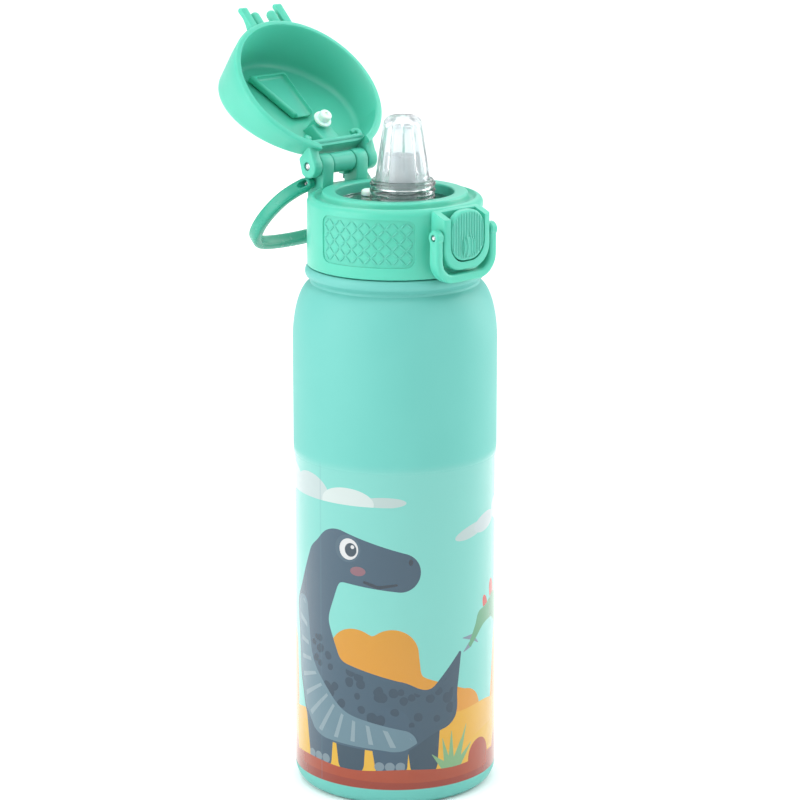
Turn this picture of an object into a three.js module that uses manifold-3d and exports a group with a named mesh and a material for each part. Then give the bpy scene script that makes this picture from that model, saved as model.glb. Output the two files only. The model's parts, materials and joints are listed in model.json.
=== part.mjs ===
// Kids' insulated water bottle with a flip cap, a soft spout and a carry loop.
// Millimetres, +Z up. The origin is the centre of the base, on the surface it stands on.
// The latch faces -Y, the cap's hinge is at +Y, and the cap is modelled open.

import * as THREE from 'three';
import { mergeVertices } from 'three/addons/utils/BufferGeometryUtils.js';
import Module from 'manifold-3d';

const wasm = await Module();
wasm.setup();

// ---------------------------------------------------------------- driving sizes

// general
const touchGap = 0.3;               // between pieces that rest on each other
const runGap = 0.4;                 // between pieces that move past each other
const roundSegments = 40;           // around the bottle
const smallSegments = 28;           // around the spout and its ring

// bottle body
const bodyRadius = 36.5;
const footInset = 5;                // from the straight wall in to the foot
const footHeight = 6.5;
const wallThickness = 0.6;
const shoulderStart = 164;          // height where the straight wall ends
const shoulderHeight = 21;
const throatLip = 2.5;              // throat under the bead, beyond the neck
const beadLip = 5;                  // bead, beyond the neck
const beadHeight = 4.1;
const neckRadius = 27;
const neckHeight = 18;              // threaded neck above the bead
const threadPitch = 4.5;
const threadTurns = 1.5;
const neckThreadRadius = 1.3;       // round rolled thread
const threadRun = 4.9;              // its start above the bead
const basePlateThickness = 0.8;

// liner
const vacuumGap = 2.9;              // between the shell and the liner
const linerWall = 0.5;
const linerFloor = 5;
const linerCorner = 8;
const linerShoulderDrop = 6;        // its shoulder starts below the shell's
const linerShoulderExtra = 3;       // and is this much taller

// collar
const collarFit = 2;                // collar's bore beyond the neck, for the threads
const collarWall = 2.2;
const collarHeight = 24.6;
const collarRounding = 2.3;
const collarThreadRadius = 1.2;
const collarRoof = 3.6;             // from the roof's underside to the collar's top
const ringInset = 5.4;              // raised ring that the cap closes around
const ringStep = 1.5;
const ringChamfer = 0.6;
const ringWidth = 4.9;

// clear insert under the mouth
const insertLift = 1.5;             // its plate above the roof's underside
const insertSeat = 3.5;             // its flange beyond the mouth
const insertFlangeThickness = 1.7;
const spoutOffset = -4;             // the spout stands in front of the centre
const bossRadius = 10;
const bossWall = 1.6;
const bossHeight = 4;
const spigotWall = 1.5;
const spigotLength = 8;

// clear ring nut
const nutWall = 0.7;
const nutCrest = 0.65;
const nutRidges = 3;
const nutHeight = 8.1;
const nutLip = 2.7;

// soft spout, its stem and the straw
const spoutShoulder = 0.3;          // its base, inside the boss's edge
const spoutTipRadius = 6.85;
const spoutRise = 22.4;             // above the nut
const spoutWall = 1.5;
const spoutHole = 0.9;
const spoutFlange = 1.1;
const stemRadius = 4.9;
const stemBore = 3.9;
const stemHeight = 17.4;
const strawRadius = 3.4;
const strawBore = 2.5;
const strawFloorGap = 4;

// vent
const ventPlace = 13.3;             // behind the centre
const ventHole = 1.6;
const ventRadius = 2.9;
const ventRise = 2.3;

// hinge
const hingeInset = 1.7;             // pin, inside the collar's edge
const hingeRise = 8;                // pin above the collar's top
const hingePinRadius = 1.25;
const postInner = 5.6;
const postThickness = 5.3;
const postRadius = 3.9;
const barrelWall = 0.9;
const springToBarrel = 0.35;
const springToPin = 0.45;
const springWire = 0.35;
const springTurns = 4.5;
const earThickness = 4;
const earRadius = 4.3;
const bracketReach = 4.7;           // behind the pin
const bracketHeight = 6.5;
const openAngle = 135;              // cap, from closed to where it stands open

// cap
const capRimInset = 1.3;            // rim, inside the collar's edge
const capRimWall = 2.6;
const capTaper = 2.1;               // top narrower than the rim
const capDepth = 16.5;              // at the centre
const capSlope = 0.3;               // the top falls towards the hinge
const capWall = 2.2;
const capRounding = 2.8;
const capNotchWall = 2.2;
const capNotchLift = 2.8;           // the notch wall stops short of the rim
const hornLength = 7.6;             // beyond the rim
const hornSpacing = 8.2;
const hornWidth = 2.8;
const hornHeight = 2.2;
const knobLength = 5.4;
const knobSpacing = 3.9;
const knobRadius = 1.6;

// spout presser and vent plug inside the cap
const presserFront = 17.5;
const presserBack = 6;
const presserFrontWidth = 17;
const presserBackWidth = 9;
const presserDrop = 3.6;
const presserWall = 1.6;
const plugPostRadius = 2.6;
const plugRadius = 2.3;
const plugFlange = 3.4;
const plugLength = 4.2;

// latch
const housingHalf = 11;
const housingProud = 5.8;           // front of the housing beyond the collar
const housingBottom = 3.4;          // above the collar's lower edge
const housingRim = 2.8;
const housingFlat = 3;              // straight part of its foot, from the middle
const housingTopDrop = 3.2;
const pocketSkin = 0.7;             // pocket's floor beyond the collar
const latchPinInset = 2.3;          // behind the housing's front
const latchPinDrop = 8.8;           // below the collar's top
const latchPinRadius = 0.9;
const buttonThickness = 3;
const buttonTopDrop = 0.3;          // below the collar's top
const buttonFlat = 1.2;             // straight part of its ends, from the middle
const buttonProud = 0.6;
const buttonBoss = 2.3;
const pipRadius = 2.9;
const pipHeight = 1;
const pipDrop = 4.4;
const bailThickness = 3.1;
const bailDepth = 4.4;
const bailLift = 0.6;               // middle of its foot above the collar's lower edge
const bailCorner = 7;
const bailEye = 2.6;
const latchSpringRadius = 1.7;
const latchSpringWire = 0.3;
const latchSpringTurns = 2.5;
const latchSpringDrop = 6;

// carry handle
const handleReach = 2;              // its pivot behind the hinge pin
const handleRise = 1.5;             // pivot above the collar's top
const handleHang = 46;              // degrees below the horizontal
const handleEyeRadius = 2.2;
const handleEyeThickness = 3;
const handlePinRadius = 0.9;
const handleHalfWidth = 22.7;
const handleLength = 36;
const handleBand = 5;
const handleThickness = 3.4;

// ---------------------------------------------------------------- worked-out places

const footRadius = bodyRadius - footInset;
const throatRadius = neckRadius + throatLip;
const shoulderInset = bodyRadius - throatRadius;
const beadRadius = neckRadius + beadLip;
const linerRadius = bodyRadius - wallThickness - vacuumGap;
const linerShoulderStart = shoulderStart - linerShoulderDrop;
const linerShoulderHeight = shoulderHeight + linerShoulderExtra;
const collarInnerRadius = neckRadius + collarFit;
const collarRadius = collarInnerRadius + collarWall;
const ringRadius = collarRadius - ringInset;
const mouthRadius = ringRadius - ringWidth;
const insertFlangeRadius = mouthRadius + insertSeat;
const hingeBack = collarRadius - hingeInset;
const bracketBack = hingeBack + bracketReach;
const handleBack = hingeBack + handleReach;
const capRimRadius = collarRadius - capRimInset;
const capTopRadius = capRimRadius - capTaper;
const hornReach = capRimRadius + hornLength;
const knobReach = capRimRadius + knobLength;
const housingFront = collarRadius + housingProud;
const housingCorner = housingHalf - housingFlat;
const pocketFloor = collarRadius + pocketSkin;
const latchPinBack = housingFront - latchPinInset;
const shoulderTop = shoulderStart + shoulderHeight;
const beadTop = shoulderTop + beadHeight + 1.9;
const neckTop = beadTop + neckHeight;
const neckBore = neckRadius - wallThickness;
const threadStart = beadTop + threadRun;
const collarBottom = beadTop + touchGap;
const collarTop = collarBottom + collarHeight;
const bossBore = bossRadius - bossWall;
const spigotRadius = strawRadius + touchGap + spigotWall;
const nutRadius = bossRadius + touchGap + nutWall;
const spoutBaseRadius = bossRadius - spoutShoulder;
const springRadius = hingePinRadius + springToPin + springWire;
const barrelBore = springRadius + springWire + springToBarrel;
const barrelRadius = barrelBore + barrelWall;
const roof = collarTop - collarRoof;
const ringTop = collarTop + ringStep;
const plateTop = roof + insertLift;
const nutBottom = plateTop + touchGap;
const nutTop = nutBottom + nutHeight;
const pinHeight = collarTop + hingeRise;
const postOuter = postInner + postThickness;
const earInner = postOuter + runGap;
const earOuter = earInner + earThickness;
const rimHeight = collarTop + runGap;
const latchPinZ = collarTop - latchPinDrop;
const handlePivotZ = collarTop + handleRise;
const bailInner = housingHalf + runGap;
const bailOuter = bailInner + bailThickness;
const handleEyeInner = postOuter + runGap;

// ---------------------------------------------------------------- materials

const mint = new THREE.Color(0.42, 0.86, 0.74);
const deepMint = new THREE.Color(0.28, 0.8, 0.66);

function plastic(colour, roughness = 0.45) {
  return new THREE.MeshStandardMaterial({ color: colour, roughness, metalness: 0 });
}

function steel(roughness = 0.25) {
  return new THREE.MeshStandardMaterial({ color: 0xc4c6c8, roughness, metalness: 1 });
}

function clearPlastic(colour, opacity) {
  return new THREE.MeshStandardMaterial({
    color: colour,
    roughness: 0.08,
    metalness: 0,
    transparent: true,
    opacity,
  });
}

// ---------------------------------------------------------------- solids and booleans

// A closed three.js geometry as a manifold solid with its faces pointing out.
function solid(geometry) {
  const bare = geometry.clone();
  for (const name of Object.keys(bare.attributes)) {
    if (name !== 'position') bare.deleteAttribute(name);
  }
  const merged = mergeVertices(bare, 1e-4);
  const at = merged.attributes.position.array;
  const corners = merged.index.array;
  const kept = [];
  let volume = 0;
  for (let i = 0; i < corners.length; i += 3) {
    const [a, b, c] = [corners[i], corners[i + 1], corners[i + 2]];
    if (a === b || b === c || c === a) continue;
    kept.push(a, b, c);
    const p = new THREE.Vector3().fromArray(at, 3 * a);
    const q = new THREE.Vector3().fromArray(at, 3 * b);
    const r = new THREE.Vector3().fromArray(at, 3 * c);
    volume += p.dot(q.cross(r));
  }
  if (volume < 0) kept.reverse();
  return new wasm.Manifold(new wasm.Mesh({
    numProp: 3,
    vertProperties: new Float32Array(at),
    triVerts: new Uint32Array(kept),
  }));
}

function geometryOf(body) {
  const mesh = body.getMesh();
  const geometry = new THREE.BufferGeometry();
  geometry.setAttribute('position', new THREE.BufferAttribute(mesh.vertProperties, 3));
  geometry.setIndex(new THREE.BufferAttribute(mesh.triVerts, 1));
  geometry.computeVertexNormals();
  return geometry;
}

function join(first, ...others) {
  return others.reduce((whole, piece) => whole.add(piece), first);
}

function cut(first, ...others) {
  return others.reduce((whole, piece) => whole.subtract(piece), first);
}

// ---------------------------------------------------------------- shape helpers

// A closed outline of [radius, height] points turned about the Z axis.
function turnedGeometry(outline, segments) {
  const points = outline.map(([r, z]) => new THREE.Vector2(r, z));
  points.push(points[0].clone());
  const geometry = new THREE.LatheGeometry(points, segments);
  geometry.rotateX(Math.PI / 2);
  return geometry;
}

function turned(outline, segments = roundSegments, y = 0) {
  return solid(turnedGeometry(outline, segments).translate(0, y, 0));
}

// Points on an elliptical arc, angles in degrees.
function arc(r, z, radiusR, radiusZ, from, to, steps) {
  const points = [];
  for (let i = 0; i <= steps; i += 1) {
    const angle = THREE.MathUtils.degToRad(from + ((to - from) * i) / steps);
    points.push([r + radiusR * Math.cos(angle), z + radiusZ * Math.sin(angle)]);
  }
  return points;
}

function outlineShape(points) {
  return new THREE.Shape(points.map(([u, v]) => new THREE.Vector2(u, v)));
}

// A [y, z] outline extruded along X between two places.
function acrossX(shape, from, to, curveSegments = 10) {
  const geometry = new THREE.ExtrudeGeometry(shape, {
    depth: to - from,
    bevelEnabled: false,
    curveSegments,
  });
  const basis = new THREE.Matrix4().makeBasis(
    new THREE.Vector3(0, 1, 0),
    new THREE.Vector3(0, 0, 1),
    new THREE.Vector3(1, 0, 0),
  );
  geometry.applyMatrix4(basis);
  geometry.translate(from, 0, 0);
  return solid(geometry);
}

// An [x, z] outline extruded forwards (-Y) between two depths in front of the centre.
function forwards(shape, from, to, curveSegments = 8) {
  const geometry = new THREE.ExtrudeGeometry(shape, {
    depth: to - from,
    bevelEnabled: false,
    curveSegments,
  });
  const basis = new THREE.Matrix4().makeBasis(
    new THREE.Vector3(1, 0, 0),
    new THREE.Vector3(0, 0, 1),
    new THREE.Vector3(0, -1, 0),
  );
  geometry.applyMatrix4(basis);
  geometry.translate(0, -from, 0);
  return solid(geometry);
}

function block(x0, x1, y0, y1, z0, z1) {
  const geometry = new THREE.BoxGeometry(x1 - x0, y1 - y0, z1 - z0);
  geometry.translate((x0 + x1) / 2, (y0 + y1) / 2, (z0 + z1) / 2);
  return solid(geometry);
}

function rodX(radius, from, to, y, z, segments = 20) {
  const geometry = new THREE.CylinderGeometry(radius, radius, to - from, segments);
  geometry.rotateZ(Math.PI / 2);
  geometry.translate((from + to) / 2, y, z);
  return solid(geometry);
}

function rodZ(radius, from, to, y, segments = smallSegments) {
  const geometry = new THREE.CylinderGeometry(radius, radius, to - from, segments);
  geometry.rotateX(Math.PI / 2);
  geometry.translate(0, y, (from + to) / 2);
  return solid(geometry);
}

function disc(radius, sides) {
  const points = [];
  for (let i = 0; i < sides; i += 1) {
    const angle = (2 * Math.PI * i) / sides;
    points.push([radius * Math.cos(angle), radius * Math.sin(angle)]);
  }
  return outlineShape(points);
}

// A section swept along a path.
function swept(section, path, steps) {
  return new THREE.ExtrudeGeometry(section, {
    steps,
    extrudePath: path,
    bevelEnabled: false,
    curveSegments: 2,
  });
}

class Helix extends THREE.Curve {
  constructor(radius, pitch, turns, start) {
    super();
    Object.assign(this, { radius, pitch, turns, start });
  }

  getPoint(t, target = new THREE.Vector3()) {
    const angle = 2 * Math.PI * this.turns * t;
    const height = this.start + this.pitch * this.turns * t;
    return target.set(this.radius * Math.cos(angle), this.radius * Math.sin(angle), height);
  }
}

function threadRidge(radius, size, start) {
  const path = new Helix(radius, threadPitch, threadTurns, start);
  return solid(swept(disc(size, 8), path, Math.round(threadTurns * 20)));
}

// A rounded bar section; u lies across the plane of a flat path and v lies in it.
function barSection(u, v, rounding) {
  const shape = new THREE.Shape();
  shape.moveTo(u - rounding, -v);
  shape.quadraticCurveTo(u, -v, u, rounding - v);
  shape.lineTo(u, v - rounding);
  shape.quadraticCurveTo(u, v, u - rounding, v);
  shape.lineTo(rounding - u, v);
  shape.quadraticCurveTo(-u, v, -u, v - rounding);
  shape.lineTo(-u, rounding - v);
  shape.quadraticCurveTo(-u, -v, rounding - u, -v);
  return shape;
}

// ---------------------------------------------------------------- bottle body

function outerShell() {
  const foot = arc(footRadius, footHeight, bodyRadius - footRadius, footHeight, -90, 0, 3);
  const wide = throatRadius;
  const shoulder = arc(wide, shoulderStart, shoulderInset, shoulderHeight, 0, 80, 5);
  const throat = [wide + 0.5, shoulderTop + 0.6];
  const middle = shoulderTop + 1.9 + beadHeight / 2;
  const bead = arc(beadRadius - 1.2, middle, 1.2, beadHeight / 2, -80, 90, 3);
  const inner = bodyRadius - wallThickness;
  const innerShoulder = arc(
    wide, shoulderStart, shoulderInset - wallThickness, shoulderHeight - 1.5, 0, 75, 3,
  ).reverse();
  const outline = [
    [footRadius - 0.5, 0],
    ...foot,
    ...shoulder,
    throat,
    ...bead,
    [neckRadius, beadTop],
    [neckRadius, neckTop - 0.4],
    [neckRadius - 0.3, neckTop],
    [neckBore, neckTop],
    [neckBore, beadTop - 1.4],
    [wide - 0.4, beadTop - 2.6],
    [wide - 0.4, shoulderTop - 0.4],
    ...innerShoulder,
    [inner, footHeight],
    [footRadius - 0.5, basePlateThickness],
  ];
  const ridge = threadRidge(neckRadius, neckThreadRadius, threadStart);
  const bore = turned([[0, beadTop], [neckBore, beadTop], [neckBore, neckTop], [0, neckTop]]);
  return turned(outline).add(ridge.subtract(bore));
}

function innerLiner() {
  const outer = neckBore - touchGap;
  const inset = linerRadius - outer;
  const corner = linerCorner;
  const outerLine = [
    [0, linerFloor],
    ...arc(linerRadius - corner, linerFloor + corner, corner, corner, -90, 0, 4),
    ...arc(outer, linerShoulderStart, inset, linerShoulderHeight, 0, 90, 5),
    [outer, neckTop],
  ];
  const inside = corner - linerWall;
  const innerLine = [
    [0, linerFloor + linerWall],
    ...arc(linerRadius - corner, linerFloor + corner, inside, inside, -90, 0, 4),
    ...arc(outer - linerWall, linerShoulderStart, inset, linerShoulderHeight - 0.6, 0, 90, 5),
    [outer - linerWall, neckTop],
  ];
  return turned([...outerLine, ...innerLine.reverse()], 36);
}

function basePlate() {
  const radius = footRadius - 0.5 - touchGap;
  return turned([
    [0, 0],
    [radius - 8, 0],
    [radius - 7.5, 0.35],
    [radius - 2.5, 0.35],
    [radius - 2, 0],
    [radius, 0],
    [radius, basePlateThickness],
    [0, basePlateThickness],
  ], 48);
}

// ---------------------------------------------------------------- lid

function postOutline() {
  const shape = new THREE.Shape();
  shape.moveTo(hingeBack - postRadius, pinHeight);
  shape.lineTo(hingeBack - postRadius + 0.4, collarTop - 1);
  shape.lineTo(hingeBack + postRadius - 0.4, collarTop - 1);
  shape.lineTo(hingeBack + postRadius, pinHeight);
  shape.absarc(hingeBack, pinHeight, postRadius, 0, Math.PI, false);
  return shape;
}

function uOutline(half, bottom, top, corner) {
  const shape = new THREE.Shape();
  shape.moveTo(-half, top);
  shape.lineTo(-half, bottom + corner);
  shape.absarc(corner - half, bottom + corner, corner, Math.PI, 1.5 * Math.PI, false);
  shape.lineTo(half - corner, bottom);
  shape.absarc(half - corner, bottom + corner, corner, 1.5 * Math.PI, 2 * Math.PI, false);
  shape.lineTo(half, top);
  return shape;
}

function latchHousing() {
  const bottom = collarBottom + housingBottom;
  const frame = forwards(
    uOutline(housingHalf, bottom, collarTop, housingCorner), collarInnerRadius - 2, housingFront,
  );
  const slope = outlineShape([
    [-collarInnerRadius, collarTop],
    [-housingFront - 1, collarTop - housingTopDrop],
    [-housingFront - 1, collarTop + 2],
    [-collarInnerRadius, collarTop + 2],
  ]);
  return frame.subtract(acrossX(slope, -housingHalf - 1, housingHalf + 1));
}

function latchPocket() {
  const half = housingHalf - housingRim;
  const bottom = collarBottom + housingBottom + housingRim;
  const corner = half - housingFlat + housingRim / 2;
  return forwards(uOutline(half, bottom, ringTop, corner), pocketFloor, housingFront + 1);
}

function lidCollar() {
  const outline = [
    [collarRadius - 0.6, collarBottom],
    [collarRadius, collarBottom + 0.6],
    ...arc(
      collarRadius - collarRounding, collarTop - collarRounding,
      collarRounding, collarRounding, 0, 90, 4,
    ),
    [ringRadius + 0.5, collarTop],
    [ringRadius, collarTop + 0.4],
    [ringRadius, ringTop - ringChamfer],
    [ringRadius - ringChamfer, ringTop],
    [mouthRadius + ringChamfer, ringTop],
    [mouthRadius, ringTop - ringChamfer],
    [mouthRadius, roof],
    [collarInnerRadius, roof],
    [collarInnerRadius, collarBottom],
  ];
  const wall = turned(outline);
  const ridge = threadRidge(collarInnerRadius, collarThreadRadius, threadStart - threadPitch / 2);
  const bracket = acrossX(outlineShape([
    [collarInnerRadius - 2, collarTop - bracketHeight - 2],
    [collarInnerRadius + 1, collarTop - bracketHeight - 2],
    [bracketBack - 1.5, collarTop - bracketHeight],
    [bracketBack, collarTop - bracketHeight + 1.5],
    [bracketBack, collarTop - 1],
    [bracketBack - 1, collarTop],
    [ringRadius + 0.5, collarTop],
    [ringRadius + 0.5, collarTop - 1],
    [collarInnerRadius - 2, collarTop - 1],
  ]), -postOuter, postOuter);
  const post = postOutline();
  const left = acrossX(post, -postOuter, -postInner);
  const right = acrossX(post, postInner, postOuter);
  const pinHole = rodX(hingePinRadius + touchGap, -postOuter - 1, postOuter + 1, hingeBack, pinHeight);
  const latchHole = rodX(
    latchPinRadius + touchGap, -housingHalf - 1, housingHalf + 1, -latchPinBack, latchPinZ, 16,
  );
  const handleHoles = [-1, 1].map((side) => {
    const ends = [side * (postInner + 0.8), side * (postOuter + 1)].sort((a, b) => a - b);
    return rodX(handlePinRadius + touchGap, ...ends, handleBack, handlePivotZ, 16);
  });
  const bore = turned([
    [0, collarBottom - 1],
    [collarInnerRadius, collarBottom - 1],
    [collarInnerRadius, roof],
    [0, roof],
  ]);
  const outside = cut(join(wall, bracket, left, right, latchHousing()), bore, latchPocket());
  return cut(outside.add(ridge), pinHole, latchHole, ...handleHoles);
}

function lidGasket() {
  const inner = insertFlangeRadius + runGap;
  const bottom = neckTop + touchGap;
  const top = roof - touchGap;
  return turned([
    [inner, bottom],
    [neckRadius + 0.6, bottom],
    [neckRadius + 0.6, top],
    [inner, top],
  ], 48);
}

function clearInsert() {
  const flangeTop = roof - touchGap;
  const flangeBottom = flangeTop - insertFlangeThickness;
  const plate = turned([
    [0, flangeBottom],
    [insertFlangeRadius, flangeBottom],
    [insertFlangeRadius, flangeTop],
    [mouthRadius - touchGap, flangeTop],
    [mouthRadius - touchGap, plateTop],
    [0, plateTop],
  ], 48);
  const boss = rodZ(bossRadius, plateTop - 0.5, plateTop + bossHeight, spoutOffset);
  const spigot = rodZ(spigotRadius, flangeBottom - spigotLength, flangeBottom + 0.5, spoutOffset, 24);
  const bore = rodZ(bossBore, plateTop - 1, plateTop + bossHeight + 1, spoutOffset);
  const strawBoreCut = rodZ(
    strawRadius + touchGap, flangeBottom - spigotLength - 1, plateTop, spoutOffset, 24,
  );
  const ventCut = rodZ(ventHole, flangeBottom - 1, plateTop + 1, ventPlace, 16);
  return cut(join(plate, boss, spigot), bore, strawBoreCut, ventCut);
}

function spoutNut() {
  const bore = bossRadius + touchGap;
  const lipBore = spoutBaseRadius + 0.05;
  const ridgePitch = nutHeight / (nutRidges + 0.4);
  const ridges = [];
  for (let i = 0; i < nutRidges; i += 1) {
    const middle = nutBottom + ridgePitch * (i + 0.7);
    ridges.push([nutRadius, middle - 0.9]);
    ridges.push([nutRadius + nutCrest, middle - 0.35]);
    ridges.push([nutRadius + nutCrest, middle + 0.35]);
    ridges.push([nutRadius, middle + 0.9]);
  }
  return turned([
    [bore, nutBottom],
    [nutRadius, nutBottom],
    ...ridges,
    [nutRadius, nutTop - 0.4],
    [nutRadius - 0.4, nutTop],
    [lipBore, nutTop],
    [lipBore, nutTop - nutLip],
    [bore, nutTop - nutLip],
  ], smallSegments, spoutOffset);
}

function siliconeSpout() {
  const flangeBottom = plateTop + bossHeight + touchGap;
  const flangeTop = flangeBottom + spoutFlange;
  const top = nutTop + spoutRise;
  const dome = 4;
  const throat = spoutBaseRadius - touchGap;
  return turned([
    [bossBore - 0.4, flangeBottom],
    [bossRadius, flangeBottom],
    [bossRadius, flangeTop],
    [throat, flangeTop + 0.1],
    [throat, nutTop + 0.2],
    [spoutBaseRadius, nutTop + 1.2],
    ...arc(spoutTipRadius - dome, top - dome, dome, dome, 0, 75, 4),
    [spoutHole + 0.3, top],
    [spoutHole, top - 0.3],
    [spoutHole, top - spoutWall],
    [spoutTipRadius - dome, top - spoutWall - 0.6],
    [spoutTipRadius - spoutWall, top - dome],
    [spoutBaseRadius - spoutWall - 0.3, nutTop + 1.5],
    [bossBore - 0.4, flangeTop],
  ], smallSegments, spoutOffset);
}

function spoutStem() {
  const bottom = plateTop - 1 + touchGap;
  return turned([
    [stemBore, bottom],
    [bossBore - touchGap, bottom],
    [bossBore - touchGap, bottom + 1],
    [stemRadius, bottom + 1],
    [stemRadius, bottom + stemHeight - 0.5],
    [stemRadius - 0.4, bottom + stemHeight],
    [stemBore, bottom + stemHeight],
  ], 24, spoutOffset);
}

function strawTube() {
  const bottom = linerFloor + linerWall + strawFloorGap;
  const top = plateTop - 1 - touchGap;
  return turned([
    [strawBore, bottom],
    [strawRadius, bottom],
    [strawRadius, top],
    [strawBore, top],
  ], 20, spoutOffset);
}

function ventValve() {
  const flangeBottom = roof - touchGap - insertFlangeThickness;
  const stem = ventHole - touchGap;
  return turned([
    [0, flangeBottom - 2],
    [ventRadius - 0.8, flangeBottom - 2],
    [ventRadius - 0.4, flangeBottom - touchGap],
    [stem, flangeBottom - touchGap],
    [stem, plateTop + touchGap],
    [ventRadius, plateTop + touchGap],
    [ventRadius - 0.4, plateTop + ventRise],
    [0, plateTop + ventRise],
  ], 20, ventPlace);
}

// ---------------------------------------------------------------- hinge

function hingeBarrel() {
  const half = postInner - touchGap;
  const sleeve = rodX(barrelRadius, -half, half, hingeBack, pinHeight, 28);
  const bore = rodX(barrelBore, -half - 1, half + 1, hingeBack, pinHeight, 24);
  const legSlot = block(
    half - 2.2, half + 1, hingeBack + 0.6, hingeBack + 3.4, pinHeight - 5, pinHeight,
  );
  return cut(sleeve, bore, legSlot);
}

class TorsionSpring extends THREE.Curve {
  getPoint(t, target = new THREE.Vector3()) {
    const coilShare = 0.88;
    const half = postInner - touchGap - 1.2;
    if (t <= coilShare) {
      const along = t / coilShare;
      const angle = 2 * Math.PI * (springTurns * along) - 2 * Math.PI * springTurns;
      return target.set(
        -half + 2 * half * along,
        hingeBack + springRadius * Math.cos(angle),
        pinHeight - springRadius * Math.sin(angle),
      );
    }
    const drop = ((t - coilShare) / (1 - coilShare)) * (hingeRise - 1);
    return target.set(half, hingeBack + springRadius, pinHeight - drop);
  }
}

function hingeSpring() {
  return solid(swept(disc(springWire, 6), new TorsionSpring(), 52));
}

// ---------------------------------------------------------------- latch

function latchButton() {
  const half = housingHalf - housingRim - runGap;
  const bottom = collarBottom + housingBottom + housingRim + runGap;
  const top = collarTop - buttonTopDrop;
  const corner = half - buttonFlat;
  const face = new THREE.Shape();
  face.moveTo(-half, bottom + corner);
  face.absarc(corner - half, bottom + corner, corner, Math.PI, 1.5 * Math.PI, false);
  face.lineTo(half - corner, bottom);
  face.absarc(half - corner, bottom + corner, corner, 1.5 * Math.PI, 2 * Math.PI, false);
  face.lineTo(half, top - corner);
  face.absarc(half - corner, top - corner, corner, 0, 0.5 * Math.PI, false);
  face.lineTo(corner - half, top);
  face.absarc(corner - half, top - corner, corner, 0.5 * Math.PI, Math.PI, false);
  const front = housingFront + buttonProud;
  const plate = forwards(face, front - buttonThickness, front);
  const boss = rodX(buttonBoss, -half + 0.5, half - 0.5, -latchPinBack, latchPinZ, 24);
  const hole = rodX(latchPinRadius + touchGap, -half - 1, half + 1, -latchPinBack, latchPinZ, 16);
  const pip = new THREE.SphereGeometry(pipRadius, 20, 12);
  pip.scale(1, pipHeight / pipRadius, 1.2);
  pip.translate(0, -front, latchPinZ - pipDrop);
  return cut(join(plate, boss, solid(pip)), hole);
}

function latchSpring() {
  const from = pocketFloor + touchGap + latchSpringWire;
  const to = housingFront + buttonProud - buttonThickness - touchGap - latchSpringWire;
  const helix = new Helix(latchSpringRadius, (to - from) / latchSpringTurns, latchSpringTurns, from);
  const geometry = swept(disc(latchSpringWire, 6), helix, 36);
  geometry.rotateX(Math.PI / 2);
  geometry.translate(0, 0, latchPinZ - latchSpringDrop);
  return solid(geometry);
}

function lockBail() {
  const middle = (bailInner + bailOuter) / 2;
  const bottom = collarBottom + bailLift;
  const y = -latchPinBack;
  const path = new THREE.CurvePath();
  const at = (x, z) => new THREE.Vector3(x, y, z);
  path.add(new THREE.LineCurve3(at(-middle, latchPinZ), at(-middle, bottom + bailCorner)));
  path.add(new THREE.CubicBezierCurve3(
    at(-middle, bottom + bailCorner), at(-middle, bottom + bailCorner * 0.4),
    at(-middle + bailCorner * 0.6, bottom), at(-middle + bailCorner, bottom),
  ));
  path.add(new THREE.LineCurve3(at(-middle + bailCorner, bottom), at(middle - bailCorner, bottom)));
  path.add(new THREE.CubicBezierCurve3(
    at(middle - bailCorner, bottom), at(middle - bailCorner * 0.6, bottom),
    at(middle, bottom + bailCorner * 0.4), at(middle, bottom + bailCorner),
  ));
  path.add(new THREE.LineCurve3(at(middle, bottom + bailCorner), at(middle, latchPinZ)));
  const section = barSection(bailDepth / 2, bailThickness / 2, 0.8);
  const loop = solid(swept(section, path, 34));
  const eyes = [-1, 1].map((side) => {
    const ends = [side * bailInner, side * bailOuter].sort((a, b) => a - b);
    return rodX(bailEye, ...ends, y, latchPinZ, 20);
  });
  const hole = rodX(latchPinRadius + touchGap, -bailOuter - 1, bailOuter + 1, y, latchPinZ, 16);
  return cut(join(loop, ...eyes), hole);
}

// ---------------------------------------------------------------- carry handle

// The loop is drawn hanging straight back along +Y and is then swung down.
function carryHandle() {
  const eyeMiddle = handleEyeInner + handleEyeThickness / 2;
  const w = handleHalfWidth;
  const l = handleLength;
  const half = [
    [eyeMiddle, 0],
    [eyeMiddle + (w - eyeMiddle) * 0.45, 0.09 * l],
    [eyeMiddle + (w - eyeMiddle) * 0.82, 0.23 * l],
    [w, 0.44 * l],
    [w - 0.3, 0.66 * l],
    [w - 2.9, 0.85 * l],
    [w - 9.2, 0.965 * l],
  ];
  const points = [
    ...half.map(([x, s]) => new THREE.Vector3(-x, s, 0)),
    new THREE.Vector3(0, l, 0),
    ...half.reverse().map(([x, s]) => new THREE.Vector3(x, s, 0)),
  ];
  const path = new THREE.CatmullRomCurve3(points, false, 'centripetal');
  const section = barSection(handleBand / 2, handleThickness / 2, 1.1);
  const loop = solid(swept(section, path, 40));
  const trim = [-1, 1].map((side) => {
    const ends = [side * (handleEyeInner - 6), side * handleEyeInner].sort((a, b) => a - b);
    return block(...ends, -5, 8, -5, 5);
  });
  const eyes = [-1, 1].map((side) => {
    const inner = side * handleEyeInner;
    const ends = [inner, inner + side * handleEyeThickness].sort((a, b) => a - b);
    return rodX(handleEyeRadius, ...ends, 0, 0, 20);
  });
  const reach = handleEyeInner + handleEyeThickness + 6;
  const hole = rodX(handlePinRadius + touchGap, -reach, reach, 0, 0, 16);
  const back = block(-reach, reach, -6, -handleEyeRadius, -6, 6);
  return cut(join(cut(loop, ...trim), ...eyes), hole, back)
    .rotate([-handleHang, 0, 0])
    .translate([0, handleBack, handlePivotZ]);
}

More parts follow.
